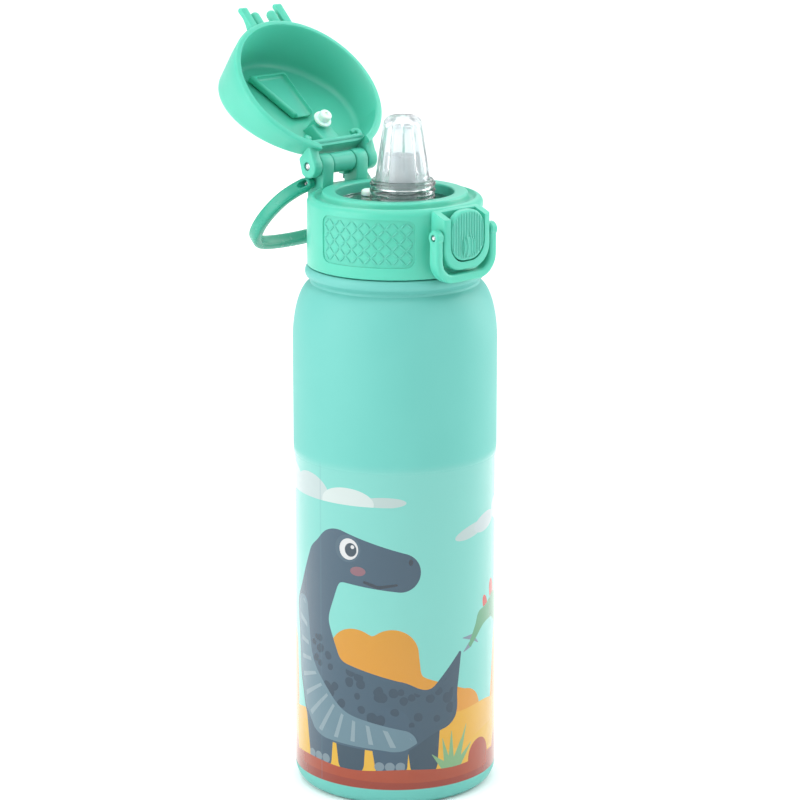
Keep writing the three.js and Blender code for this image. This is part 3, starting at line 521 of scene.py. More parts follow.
def satin(name, light, dark, roughness):
    finish = Finish(name, IOR=1.46, Subsurface_Weight=0.22, Subsurface_Scale=0.004,
                    Subsurface_Radius=(0.35, 1.0, 0.8))
    cloudy = finish.grain(14, 3)
    skin = finish.grain(0.4, 3, 0.55)
    scuff = finish.grain(3.2, 5, 0.7)
    finish.feed(Base_Color=finish.mix(cloudy, ink(dark), ink(light)),
                Roughness=roughness + (scuff - 0.5) * 0.16)
    finish.relief(skin, 0.012, rounding=0.28)
    return finish


lid_plastic = satin("satin_mint_plastic", "52bea6", "49b79d", 0.33)
handle_plastic = satin("smooth_mint_plastic", "289f86", "23967c", 0.26)
print("plastics ready")

# %% [markdown]
# Clear plastic and silicone are glass-like shaders. The silicone is softer and a shade blue, and both have
# faint flow lines in their roughness.

# %% Finish the clear pieces


def clear(name, tint, roughness, ior, through=1.0):
    finish = Finish(name, IOR=ior, Transmission_Weight=through)
    flow = finish.grain(2.2, 3, stretch=(1, 1, 0.25))
    finish.feed(Base_Color=finish.mix(flow, ink(tint), ink("ffffff")),
                Roughness=flow * 0.08 + roughness)
    finish.relief(flow, 0.02)
    return finish


clear_plastic = clear("clear_plastic", "dfeeea", 0.02, 1.45)
silicone = clear("clear_silicone", "e9f4f8", 0.06, 1.41, 0.86)
milky = clear("milky_plastic", "eef4f6", 0.3, 1.45, 0.45)

white_rubber = Finish("white_silicone", IOR=1.41, Subsurface_Weight=0.35, Subsurface_Scale=0.002)
chalk = white_rubber.grain(1.1, 4)
white_rubber.feed(Base_Color=white_rubber.mix(chalk, ink("cdeee3"), ink("e4f6f0")),
                  Roughness=chalk * 0.15 + 0.42)
white_rubber.relief(chalk, 0.02, rounding=0.2)
print("clear pieces ready")

# %% [markdown]
# Drawn steel has fine lines along the way it was pulled. Noise that is stretched along one axis gives them.

# %% Finish the steel


def steel(name, stretch, tone, roughness):
    finish = Finish(name, Metallic=1.0)
    lines = finish.grain(0.5, 4, 0.6, stretch)
    finish.feed(Base_Color=finish.mix(lines, ink(tone), ink("d9dbdd")),
                Roughness=lines * 0.2 + roughness)
    finish.relief(lines, 0.006, rounding=0.12)
    return finish


liner_steel = steel("drawn_liner_steel", (1, 1, 0.04), "b9bcc0", 0.2)
pin_steel = steel("pin_steel", (0.06, 1, 1), "aeb1b5", 0.14)
print("steel ready")

# %% [markdown]
# ## Making meshes
#
# Most pieces of a lid are one of three things: a form turned on a lathe, an outline pushed through a
# thickness, or a bar drawn along a path. Blender has tools for each, such as the Screw modifier or a curve
# with a bevel. We write the points ourselves, because then every ring of points is where we want it.

# %% Turn a form on a lathe
ROUND_SIDES = 160
SMALL_SIDES = 96


def bend(r, z, wide, tall, start, end, steps=8):
    """Points on an arc, as pairs of radius and height."""
    angles = [math.radians(start + (end - start) * i / steps) for i in range(steps + 1)]
    return [(r + wide * math.cos(a), z + tall * math.sin(a)) for a in angles]


def lathe(outline, sides=SMALL_SIDES, middle_y=0.0):
    """Turns a closed outline of (radius, height) pairs about an upright line."""
    form = bmesh.new()
    rings = []
    for r, z in outline:
        count = 1 if r < 1e-6 else sides
        rings.append([form.verts.new((r * math.sin(2 * math.pi * i / sides),
                                      middle_y - r * math.cos(2 * math.pi * i / sides), z))
                      for i in range(count)])
    for first, second in zip(rings, rings[1:] + rings[:1]):
        if len(first) == 1 and len(second) == 1:
            continue
        for i in range(sides):
            j = (i + 1) % sides
            corners = [first[i % len(first)], first[j % len(first)],
                       second[j % len(second)], second[i % len(second)]]
            form.faces.new(list(dict.fromkeys(corners)))
    bmesh.ops.recalc_face_normals(form, faces=form.faces)
    return form


print("a test ring has", len(lathe([(1, 0), (2, 0), (2, 1), (1, 1)], 8).faces), "faces")

# %% [markdown]
# An outline pushed through a thickness is a prism. Its corners get a small bevel at once, as a moulded
# piece has, since a perfectly sharp edge never catches the light.

# %% Push an outline through a thickness
PLACE_ON = {"x": lambda a, b, depth: (depth, a, b),
            "y": lambda a, b, depth: (a, depth, b),
            "z": lambda a, b, depth: (a, b, depth)}


def soften(form, edge, segments=3, sharper_than=25):
    """Bevels each edge whose faces meet at more than this angle."""
    limit = math.radians(sharper_than)
    sharp = [e for e in form.edges if len(e.link_faces) == 2 and e.calc_face_angle() > limit]
    bmesh.ops.bevel(form, geom=sharp, offset=edge, segments=segments, profile=0.5,
                    affect="EDGES", clamp_overlap=True)
    return form


def prism(outline, low, high, along, edge=0.0):
    """Pushes a flat outline from one depth to another along an axis."""
    form = bmesh.new()
    near, far = [[form.verts.new(PLACE_ON[along](a, b, depth)) for a, b in outline] for depth in (low, high)]
    form.faces.new(near)
    form.faces.new(far)
    for i in range(len(outline)):
        j = (i + 1) % len(outline)
        form.faces.new([near[i], near[j], far[j], far[i]])
    bmesh.ops.recalc_face_normals(form, faces=form.faces)
    return soften(form, edge) if edge else form


def box(x, y, z, edge=0.0):
    return prism([(x[0], y[0]), (x[1], y[0]), (x[1], y[1]), (x[0], y[1])], z[0], z[1], "z", edge)


def beside(side, near, far):
    """The stretch along X from near to far, on the side -1 or 1 of the middle."""
    return sorted((side * near, side * far))


def rod(radius, low, high, y, z, sides=48, edge=0.25):
    """A round bar along X with eased ends."""
    form = lathe([(0, low), (radius - edge, low), (radius, low + edge),
                  (radius, high - edge), (radius - edge, high), (0, high)], sides)
    form.transform(Matrix.Translation((0, y, z)) @ Matrix.Rotation(math.pi / 2, 4, "Y"))
    return form


print("a bevelled block has", len(box((0, 1), (0, 1), (0, 1), 0.1).faces), "faces")

# %% [markdown]
# A bar follows a path with a section of its own. The section needs to know which way is flat, so each
# point of the path carries that direction; a wire that coils carries the direction out of its axis.

# %% Draw a bar along a path


def rounded_bar(half_wide, half_tall, corner, steps=4):
    """The outline of a bar with rounded corners, as (across, flat) pairs."""
    points = []
    for side_a, side_b, start in ((1, 1, 0), (-1, 1, 90), (-1, -1, 180), (1, -1, 270)):
        points += bend(side_a * (half_wide - corner), side_b * (half_tall - corner),
                       corner, corner, start, start + 90, steps)
    return points


def ring(radius, sides=12):
    return bend(0, 0, radius, radius, 0, 360 - 360 / sides, sides - 1)


def bar(path, flats, section, sizes=None):
    """Draws a section along a path of points, with one flat direction for each."""
    form = bmesh.new()
    rows = []
    for i, point in enumerate(path):
        ahead = path[min(i + 1, len(path) - 1)] - path[max(i - 1, 0)]
        flat = flats[i] if isinstance(flats, list) else flats
        across = ahead.cross(flat).normalized()
        up = across.cross(ahead).normalized()
        size = sizes[i] if sizes else 1
        rows.append([form.verts.new(point + (across * a + up * b) * size) for a, b in section])
    for first, second in zip(rows, rows[1:]):
        for i in range(len(section)):
            j = (i + 1) % len(section)
            form.faces.new([first[i], first[j], second[j], second[i]])
    form.faces.new(rows[0])
    form.faces.new(rows[-1])
    bmesh.ops.recalc_face_normals(form, faces=form.faces)
    return form


def faded(path):
    """Sizes for a bar that thins away at both ends, as a thread does."""
    return [0.35] + [1] * (len(path) - 2) + [0.35]


def mirrored(points):
    """The same points on the other side of the middle, in reverse."""
    return [Vector((-point.x, point.y, point.z)) for point in reversed(points)]


def flowing(points, steps=8):
    """A smooth path through a few points."""
    ends = [points[0] * 2 - points[1]] + points + [points[-1] * 2 - points[-2]]
    path = []
    for a, b, c, d in zip(ends, ends[1:], ends[2:], ends[3:]):
        for k in range(steps):
            t = k / steps
            path.append(((b * 2) + (c - a) * t + (a * 2 - b * 5 + c * 4 - d) * t * t
                         + (b * 3 - a - c * 3 + d) * t ** 3) / 2)
    return path + [points[-1]]


def coil(radius, pitch, turns, start, steps=36):
    """A helix about the Z axis, and the direction outwards at each of its points."""
    count = round(turns * steps)
    angles = [2 * math.pi * i / steps for i in range(count + 1)]
    outwards = [Vector((math.cos(a), math.sin(a), 0)) for a in angles]
    path = [out * radius + Vector((0, 0, start + pitch * a / 2 / math.pi))
            for out, a in zip(outwards, angles)]
    return path, outwards


three_points = [Vector((i, i * i, 0)) for i in range(3)]
print("a flowing path through 3 points has", len(flowing(three_points)), "points")

# %% [markdown]
# Holes, pockets and joins are booleans, which add or cut one solid from another. The exact solver is slower
# than the fast one, but it keeps surfaces that meet on a line clean.

# %% Join and cut solids


def on_stage(form):
    mesh = bpy.data.meshes.new("blank")
    form.to_mesh(mesh)
    blank = bpy.data.objects.new("blank", mesh)
    bpy.context.collection.objects.link(blank)
    return blank


def combine(how, base, *tools):
    """Joins (UNION), cuts (DIFFERENCE) or crosses (INTERSECT) solids."""
    host = on_stage(base)
    others = [on_stage(tool) for tool in tools]
    for other in others:
        step = host.modifiers.new(how, "BOOLEAN")
        step.operation, step.solver, step.object = how, "EXACT", other
    bpy.context.view_layer.update()
    mesh = bpy.data.meshes.new_from_object(host.evaluated_get(bpy.context.evaluated_depsgraph_get()))
    result = bmesh.new()
    result.from_mesh(mesh)
    bmesh.ops.remove_doubles(result, verts=result.verts, dist=1e-4)
    for blank in (host, *others):
        data = blank.data
        bpy.data.objects.remove(blank)
        bpy.data.meshes.remove(data)
    bpy.data.meshes.remove(mesh)
    return result


def gather(*forms):
    """Puts several closed forms into one mesh without cutting them."""
    whole = bmesh.new()
    for form in forms:
        mesh = bpy.data.meshes.new("blank")
        form.to_mesh(mesh)
        whole.from_mesh(mesh)
        bpy.data.meshes.remove(mesh)
    return whole


two_blocks = combine("UNION", *[box((low, low + 2), (low, low + 2), (low, low + 2)) for low in (0, 1)])
print("two blocks join into", len(two_blocks.faces), "faces")

# %% [markdown]
# Every piece ends the same way. It is scaled to metres, shaded smooth except at real edges, given its
# finish, set to ride on its body, and the plain solid that it covers is hidden.

# %% Finish and place a piece
swing_open = (Matrix.Translation(hinge) @ Matrix.Rotation(math.radians(-cap_swing), 4, "X")
              @ Matrix.Translation(-hinge))


def place_piece(name, form, finish, rides_on, stands_for, opened=False, edge_angle=32):
    """Makes the object of a piece; opened says that it was drawn with the cap shut."""
    if opened:
        form.transform(swing_open)
    form.transform(Matrix.Scale(MM, 4))
    mesh = bpy.data.meshes.new(name)
    form.to_mesh(mesh)
    form.free()
    mesh.polygons.foreach_set("use_smooth", [True] * len(mesh.polygons))
    mesh.set_sharp_from_angle(angle=math.radians(edge_angle))
    mesh.materials.append(finish.material)
    piece = bpy.data.objects.new(name, mesh)
    bpy.context.collection.objects.link(piece)
    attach(piece, rides_on)
    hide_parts(*stands_for)
    print(name, "has", len(mesh.polygons), "faces")
    return piece


print("ready to make pieces")

# %% [markdown]
# ## The flask
#
# The shell is one drawn sheet: a rounded foot, a straight wall, a shoulder that rolls in to a throat, a bead
# that the lid comes down to, and a neck. It is the plainest lathe form, so smoothness is everything, and
# 160 sides keep its outline round. The neck's rolled thread is a coil pressed half into the wall.

# %% Turn the shell
WALL = 0.6
FOOT_RADIUS, FOOT_HEIGHT = 31.5, 6.5
NECK_RADIUS = 27
THROAT_RADIUS, BEAD_RADIUS = 29.5, 32
THREAD_PITCH, THREAD_TURNS = 4.5, 1.5
bead_top = collar_bottom - 0.3
shoulder_top = bead_top - 6
shoulder_start = shoulder_top - 21
shoulder_in = BODY_RADIUS - THROAT_RADIUS
neck_top = shell_high.z

wall_line = [
    (FOOT_RADIUS - 0.5, 0.05),
    *bend(FOOT_RADIUS, FOOT_HEIGHT, BODY_RADIUS - FOOT_RADIUS, FOOT_HEIGHT, -90, 0, 12),
    *[(BODY_RADIUS, FOOT_HEIGHT + step) for step in (20, 60, 100, 140)],
    *bend(THROAT_RADIUS, shoulder_start, shoulder_in, 21, 0, 78, 22),
    (THROAT_RADIUS + 0.75, shoulder_top + 0.1), (THROAT_RADIUS + 0.62, shoulder_top + 0.8),
    (THROAT_RADIUS + 0.9, shoulder_top + 1.5),
    *bend(BEAD_RADIUS - 1.5, bead_top - 2.05, 1.5, 2.05, -70, 90, 12),
    (NECK_RADIUS + 0.4, bead_top), (NECK_RADIUS, bead_top + 0.4), (NECK_RADIUS, neck_top - 0.5),
    *bend(NECK_RADIUS - 0.3, neck_top - 0.3, 0.3, 0.3, 0, 180, 4)[1:],
    (NECK_RADIUS - WALL, bead_top - 1.4), (THROAT_RADIUS - 0.4, bead_top - 2.6),
    (THROAT_RADIUS - 0.4, shoulder_top - 1.6),
    *bend(THROAT_RADIUS, shoulder_start, shoulder_in - WALL, 19.5, 75, 0, 10),
    (BODY_RADIUS - WALL, FOOT_HEIGHT), (FOOT_RADIUS - 0.5, 0.8)]
thread_path, thread_out = coil(NECK_RADIUS - 0.05, THREAD_PITCH, THREAD_TURNS, bead_top + 4.9)
thread = bar(thread_path, thread_out, ring(1.2, 10), faded(thread_path))
bore = lathe([(0, bead_top), (NECK_RADIUS - WALL, bead_top), (NECK_RADIUS - WALL, neck_top + 3),
              (0, neck_top + 3)])
thread = combine("DIFFERENCE", thread, bore)
place_piece("flask_shell", gather(lathe(wall_line, ROUND_SIDES), thread), body, "bottle",
            ["outer_shell"])

# %% [markdown]
# The steel liner, the base disc, the soft seal and the straw are right as they are packed: they are plain
# turned forms that hardly show. They stay, and only get their finishes.

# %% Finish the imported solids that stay
for node, finish in (("inner_liner", liner_steel), ("base_plate", body), ("lid_gasket", white_rubber),
                     ("straw_tube", milky)):
    frame["nodes"][node].material_slots[0].material = finish.material
print("four packed solids finished")

# %% [markdown]
# ## The lid's collar
#
# The collar is a turned cup with a raised ring round its mouth. The cap's rim closes into the shallow
# channel beside that ring. On its sides are two grip panels: shallow recesses with a lattice of raised
# dashes. A bump map could fake the dashes, but real ones also show at the outline, so they are small bars
# bent round the wall.

# %% Turn the collar
COLLAR_RADIUS, COLLAR_BORE = 31.2, 29
RING_RADIUS, RING_STEP, MOUTH_RADIUS = 25.8, 1.5, 20.9
ROOF_DROP = 3.6
ring_top = collar_top + RING_STEP
roof = collar_top - ROOF_DROP

collar_line = [
    (COLLAR_BORE + 0.4, collar_bottom), (COLLAR_RADIUS - 0.8, collar_bottom),
    *bend(COLLAR_RADIUS - 0.6, collar_bottom + 0.6, 0.6, 0.6, -60, 0, 3),
    (COLLAR_RADIUS, collar_bottom + 6), (COLLAR_RADIUS, collar_bottom + 14),
    *bend(COLLAR_RADIUS - 2.4, collar_top - 2.4, 2.4, 2.4, 0, 90, 10),
    *bend(RING_RADIUS + 1.5, collar_top + 0.2, 1.4, 1.5, -60, -180, 8),
    *bend(RING_RADIUS - 0.8, ring_top - 0.9, 0.85, 0.9, 8, 90, 5),
    *bend(MOUTH_RADIUS + 0.8, ring_top - 0.8, 0.8, 0.8, 90, 180, 5),
    (MOUTH_RADIUS, roof), (COLLAR_BORE, roof), (COLLAR_BORE, collar_bottom + 0.4)]
collar = lathe(collar_line, ROUND_SIDES)
print("collar turned with", len(collar.faces), "faces")

# %% Cut the grip panels
PANEL_TURN, PANEL_HALF, PANEL_DEEP = 63.4, 18.2, 0.4
PANEL_LOW, PANEL_HIGH, PANEL_CORNER = 4.4, 21.2, 3.2


def on_wall(turn, along, z, r):
    """A point beside the collar: a direction, a distance along the wall, a height and a radius."""
    angle = math.radians(turn) + along / COLLAR_RADIUS
    return Vector((r * math.sin(angle), -r * math.cos(angle), z))


def panel_cutter(turn):
    """A curved slab with rounded corners, as thick as the recess and more."""
    rounds = [(PANEL_CORNER * (1 - math.cos(a)), PANEL_CORNER * (1 - math.sin(a)))
              for a in (math.radians(d) for d in (8, 25, 45, 65, 90))]
    middle = PANEL_HALF - PANEL_CORNER
    columns = [(-PANEL_HALF + a, inset) for a, inset in rounds]
    columns += [(middle * step / 6, 0) for step in range(-5, 6)]
    columns += [(PANEL_HALF - a, inset) for a, inset in reversed(rounds)]
    form = bmesh.new()
    rows = []
    for along, inset in columns:
        low, high = collar_bottom + PANEL_LOW + inset, collar_bottom + PANEL_HIGH - inset
        inner, outer = COLLAR_RADIUS - PANEL_DEEP, COLLAR_RADIUS + 2
        rows.append([form.verts.new(on_wall(turn, along, z, r))
                     for z, r in ((low, inner), (high, inner), (high, outer), (low, outer))])
    for first, second in zip(rows, rows[1:]):
        for i in range(4):
            form.faces.new([first[i], first[(i + 1) % 4], second[(i + 1) % 4], second[i]])
    form.faces.new(rows[0])
    form.faces.new(rows[-1])
    bmesh.ops.recalc_face_normals(form, faces=form.faces)
    return form


collar = combine("DIFFERENCE", collar, panel_cutter(PANEL_TURN), panel_cutter(-PANEL_TURN))
print("collar with panels has", len(collar.faces), "faces")

# %% Lay the dashes of the grip
DASH_STEP, DASH_ROWS, DASH_COLUMNS = 5.0, 3, 7


def dash(turn, along, z, lean):
    """A short raised bar on the wall, thin at its ends."""
    path, outwards = [], []
    for reach in (-1.35, -0.9, 0, 0.9, 1.35):
        a, b = along + reach * math.cos(lean), z + reach * math.sin(lean)
        path.append(on_wall(turn, a, b, COLLAR_RADIUS - PANEL_DEEP))
        outwards.append(on_wall(turn, a, 0, 1))
    return bar(path, outwards, ring(0.36, 8), [0.3, 0.9, 1, 0.9, 0.3])


dashes = []
panel_middle = collar_bottom + (PANEL_LOW + PANEL_HIGH) / 2
for turn in (-PANEL_TURN, PANEL_TURN):
    for column in range(DASH_COLUMNS):
        for row in range(DASH_ROWS):
            middle_a = (column - (DASH_COLUMNS - 1) / 2) * DASH_STEP
            middle_z = panel_middle + (row - (DASH_ROWS - 1) / 2) * DASH_STEP
            for side_a, side_z in ((1, 1), (-1, 1), (-1, -1), (1, -1)):
                dashes.append(dash(turn, middle_a + side_a * DASH_STEP / 4, middle_z + side_z * DASH_STEP / 4,
                                   -side_a * side_z * math.radians(46)))
print(len(dashes), "dashes laid")

# %% [markdown]
# The latch sits in a U-shaped housing on the collar's front. At the back a bracket carries two posts for
# the hinge. All of them are outlines pushed through a thickness and joined to the cup; then the bore, the
# latch's pocket and the pin holes are cut.

# %% Add the housing, the bracket and the posts
HOUSING_HALF, HOUSING_RIM, HOUSING_CORNER, HOUSING_LIFT = 11, 2.8, 8, 3.4
HOUSING_TOP_DROP = 3.2
housing_front = -collar_low.y
POST_IN, POST_OUT, POST_RADIUS = 5.6, 10.9, 3.9
bracket_back = hinge.y + 4.7


def u_shape(half, bottom, top, corner):
    left = bend(corner - half, bottom + corner, corner, corner, 180, 270, 10)
    right = bend(half - corner, bottom + corner, corner, corner, 270, 360, 10)
    return [(-half, top), *left, *right, (half, top)]


housing = prism(u_shape(HOUSING_HALF, collar_bottom + HOUSING_LIFT, collar_top - 0.4, HOUSING_CORNER),
                -COLLAR_BORE - 0.6, -housing_front, "y", 0.9)
top_slope = prism([(-COLLAR_RADIUS + 1.4, collar_top), (-housing_front - 1, collar_top - HOUSING_TOP_DROP),
                   (-housing_front - 1, collar_top + 2), (-COLLAR_RADIUS + 1.4, collar_top + 2)],
                  -HOUSING_HALF - 1, HOUSING_HALF + 1, "x")
housing = combine("DIFFERENCE", housing, top_slope)
pocket_half = HOUSING_HALF - HOUSING_RIM
pocket = prism(u_shape(pocket_half, collar_bottom + HOUSING_LIFT + HOUSING_RIM, ring_top, pocket_half - 1.6),
               -COLLAR_RADIUS - 0.7, -housing_front - 1, "y")
bracket = prism([(COLLAR_BORE - 1, collar_top - 8.5), (COLLAR_BORE + 1, collar_top - 8.5),
                 (bracket_back - 1.5, collar_top - 6.5), (bracket_back, collar_top - 5),
                 (bracket_back, collar_top - 1), (bracket_back - 1, collar_top),
                 (RING_RADIUS + 2.6, collar_top), (RING_RADIUS + 2.6, collar_top - 1),
                 (COLLAR_BORE - 1, collar_top - 1)], -POST_OUT, POST_OUT, "x", 0.35)
post_line = [(hinge.y - POST_RADIUS + 0.4, collar_top - 1.2),
             (hinge.y + POST_RADIUS - 0.4, collar_top - 1.2),
             *bend(hinge.y, hinge.z, POST_RADIUS, POST_RADIUS, 0, 180, 20)]
posts = [prism(post_line, *beside(side, POST_IN, POST_OUT), "x", 0.5) for side in (-1, 1)]
collar = combine("UNION", collar, housing, bracket, *posts)
print("collar joined, with", len(collar.faces), "faces")

# %% Cut the bore, the pocket and the pin holes
bore = lathe([(0, collar_bottom - 1), (COLLAR_BORE, collar_bottom - 1), (COLLAR_BORE, roof), (0, roof)],
             ROUND_SIDES)
hinge_hole = rod(HINGE_BORE, -POST_OUT - 1, POST_OUT + 1, hinge.y, hinge.z)
latch_hole = rod(SMALL_BORE, -HOUSING_HALF - 1, HOUSING_HALF + 1, latch_pivot.y, latch_pivot.z, 32)
handle_holes = [rod(SMALL_BORE, *beside(side, POST_IN + 0.8, POST_OUT + 1),
                    handle_pivot.y, handle_pivot.z, 32) for side in (-1, 1)]
collar = combine("DIFFERENCE", collar, bore, pocket, hinge_hole, latch_hole, *handle_holes)
inner_path, inner_out = coil(COLLAR_BORE + 0.1, THREAD_PITCH, THREAD_TURNS,
                             bead_top + 4.9 - THREAD_PITCH / 2)
inner_thread = bar(inner_path, inner_out, ring(1.15, 10), faded(inner_path))
place_piece("lid_collar_shell", gather(collar, inner_thread, *dashes), lid_plastic, "lid",
            ["lid_collar"])

# %% [markdown]
# ## The clear insert, the ring nut and the vent
#
# Inside the mouth lies a clear plate with a short boss. A clear ring nut with three rounded ridges screws
# over the boss and holds the spout down. Clear pieces want closed walls with true thickness, so that light
# bends on its way in and on its way out.

# %% Turn the clear pieces
TOUCH = 0.3
BOSS_RADIUS, BOSS_BORE, BOSS_RISE = 10, 8.4, 4
plate_top = insert_high.z - BOSS_RISE
flange_top = roof - TOUCH
flange_bottom = flange_top - 1.7

plate = lathe([(0, flange_bottom), (24, flange_bottom), (24.4, flange_bottom + 0.4), (24.4, flange_top),
               (MOUTH_RADIUS - TOUCH, flange_top), (MOUTH_RADIUS - TOUCH, plate_top - 0.3),
               (MOUTH_RADIUS - 0.6, plate_top), (0, plate_top)], ROUND_SIDES)
boss = lathe([(0, plate_top - 0.5), (BOSS_RADIUS, plate_top - 0.5),
              (BOSS_RADIUS, plate_top + BOSS_RISE - 0.3),
              (BOSS_RADIUS - 0.3, plate_top + BOSS_RISE), (0, plate_top + BOSS_RISE)], middle_y=spout_y)
spigot = lathe([(0, insert_low.z), (5.2, insert_low.z), (5.2, flange_bottom + 0.5), (0, flange_bottom + 0.5)],
               middle_y=spout_y)
holes = [lathe([(0, low), (r, low), (r, high), (0, high)], 64, y) for r, low, high, y in (
    (BOSS_BORE, plate_top - 1, plate_top + 6, spout_y), (3.7, insert_low.z - 1, plate_top + 1, spout_y),
    (1.6, flange_bottom - 1, plate_top + 1, 13.3))]
insert = combine("DIFFERENCE", combine("UNION", plate, boss, spigot), *holes)
place_piece("mouth_insert", insert, clear_plastic, "lid", ["clear_insert"])

NUT_RADIUS, NUT_CREST, NUT_BORE, LIP_BORE = 11, 0.65, 10.3, 9.75
ridge_step = (nut_high.z - nut_low.z) / 3.4
nut_line = [(NUT_BORE, nut_low.z), (NUT_RADIUS, nut_low.z)]
for ridge in range(3):
    nut_line += bend(NUT_RADIUS, nut_low.z + ridge_step * (ridge + 0.7), NUT_CREST, 0.85, -90, 90, 8)
nut_line += [(NUT_RADIUS, nut_high.z - 0.5), *bend(NUT_RADIUS - 0.5, nut_high.z - 0.5, 0.5, 0.5, 30, 90, 3),
             (LIP_BORE + 0.2, nut_high.z), (LIP_BORE, nut_high.z - 0.2), (LIP_BORE, nut_high.z - 2.7),
             (NUT_BORE, nut_high.z - 2.9)]
place_piece("spout_ring_nut", lathe(nut_line, middle_y=spout_y), clear_plastic, "lid",
            ["spout_nut"])

vent_low, vent_high = low_high("vent_valve")
vent_y = (vent_low.y + vent_high.y) / 2
vent = lathe([(0, vent_low.z), (1.9, vent_low.z), (2.5, flange_bottom - TOUCH), (1.3, flange_bottom - TOUCH),
              (1.3, plate_top + TOUCH), (2.9, plate_top + TOUCH),
              *bend(1.9, plate_top + 1.3, 1.0, 1.0, 0, 80, 6), (0.8, vent_high.z - 0.1),
              (0.5, vent_high.z - 0.5), (0, vent_high.z - 0.55)], 64, vent_y)
place_piece("vent_button", vent, white_rubber, "lid", ["vent_valve"])

# %% [markdown]
# ## The soft spout
#
# The spout is a thick clear silicone teat. Eight ribs inside keep it from sticking shut when it is folded,
# and they draw its upright streaks. So its inner surface is turned like the outer one, and then
# each ring of points is pushed inwards eight times round. When the cap shuts, its presser folds the spout
# down onto the ring nut.

# %% Turn the spout and its stem
spout_low, spout_high = low_high("silicone_spout")
SPOUT_BASE, SPOUT_TIP, SPOUT_WALL, SPOUT_RIBS, RIB_DEEP = 9.7, 6.85, 1.35, 8, 1.0

top = spout_high.z
nut_top = nut_high.z
outer = [(8, spout_low.z), (BOSS_RADIUS, spout_low.z), (BOSS_RADIUS, spout_low.z + 1.1),
         (SPOUT_BASE - TOUCH, spout_low.z + 1.2), (SPOUT_BASE - TOUCH, nut_top + 0.1),
         *bend(SPOUT_BASE - 0.55, nut_top + 0.75, 0.5, 0.6, -60, 40, 5),
         *bend(SPOUT_TIP - 3.2, top - 3.2, 3.2, 3.2, 6, 84, 12), (2.0, top - 0.1), (1.3, top - 0.25),
         (0.9, top - 0.7)]
inner = [(0.9, top - 1.7), (3.0, top - 2.0), (SPOUT_TIP - SPOUT_WALL - 0.6, top - 3.0),
         (SPOUT_TIP - SPOUT_WALL, top - 4.4)]
rings = 10
inner += [(SPOUT_TIP - SPOUT_WALL + (SPOUT_BASE - SPOUT_TIP - 0.3) * k / rings,
           top - 4.4 + (nut_top + 1.5 - top + 4.4) * k / rings) for k in range(1, rings + 1)]
inner += [(8, spout_low.z + 1.1)]
spout = lathe(outer + inner, SMALL_SIDES, spout_y)
ribbed_from, ribbed_to = nut_top + 2, top - 4
for point in spout.verts:
    offset = Vector((point.co.x, point.co.y - spout_y, 0))
    wall_here = SPOUT_TIP + (SPOUT_BASE - SPOUT_TIP) * (top - point.co.z) / (top - nut_top)
    if ribbed_from < point.co.z < ribbed_to and offset.length < wall_here - 0.6:
        angle = math.atan2(offset.y, offset.x)
        push = max(0.0, math.cos(SPOUT_RIBS * angle)) ** 2 * RIB_DEEP
        point.co -= offset.normalized() * push
soft_spout = place_piece("soft_spout", spout, silicone, "lid", ["silicone_spout"],
                         edge_angle=50)
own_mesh(soft_spout)

stem_low, stem_high = low_high("spout_stem")
stem = lathe([(3.9, stem_low.z), (8.1, stem_low.z), (8.1, stem_low.z + 1), (4.9, stem_low.z + 1.3),
              (4.9, stem_high.z - 0.4), *bend(4.5, stem_high.z - 0.4, 0.4, 0.4, 0, 90, 4),
              (4.1, stem_high.z), (3.9, stem_high.z - 0.2)], 64, spout_y)
drinking_stem = place_piece("drinking_stem", stem, milky, "lid", ["spout_stem"])
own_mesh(drinking_stem)

# %% [markdown]
# ## The flip cap
#
# The cap is a shallow cup whose top slopes down to the hinge. We draw it shut, as its maker does, and swing
# it open at the end. It starts as a lathe form, and the slope comes from stretching each point's height
# by how far forward it lies.

# %% Turn the cap
CAP_RIM, CAP_WALL_RIM, CAP_TOP, CAP_DEPTH, CAP_SLOPE, CAP_SKIN = 29.9, 2.6, 27.8, 16.5, 0.3, 2.2
rim = collar_top + 0.4


def sloped(outline):
    form = lathe(outline, ROUND_SIDES)
    for point in form.verts:
        point.co.z = rim + (point.co.z - rim) * (1 - CAP_SLOPE * point.co.y / CAP_DEPTH)
    return form


def ceiling(y, below=0.0):
    """Height of the cap's ceiling at a distance behind the centre."""
    return rim + (CAP_DEPTH - CAP_SKIN) * (1 - CAP_SLOPE * y / CAP_DEPTH) - below


cap_top = rim + CAP_DEPTH
within = CAP_TOP - CAP_SKIN
outside = sloped([(0, rim), (CAP_RIM - 0.9, rim), *bend(CAP_RIM - 0.9, rim + 0.9, 0.9, 0.9, -60, 0, 4),
                  (CAP_RIM - 0.5, rim + 5), *bend(CAP_TOP - 3.4, cap_top - 3.4, 3.4, 3.4, 4, 90, 14),
                  (CAP_TOP - 12, cap_top), (0, cap_top)])
cavity = sloped([(0, rim - 1), (CAP_RIM - CAP_WALL_RIM + 0.5, rim - 1), (CAP_RIM - CAP_WALL_RIM + 0.5, rim),
                 (CAP_RIM - CAP_WALL_RIM, rim + 0.7),
                 *bend(within - 2.6, cap_top - CAP_SKIN - 2.6, 2.6, 2.6, 4, 90, 10),
                 (within - 12, cap_top - CAP_SKIN), (0, cap_top - CAP_SKIN)])
print("the cap is", round(CAP_RIM * 2, 1), "mm wide at its rim")

# %% [markdown]
# At the back a notch clears the hinge posts, closed by a low wall with a round rail on its edge. The ears
# beside the notch hold the pin. At the front are two horns for the lock bail and two round knobs for a
# fingertip.

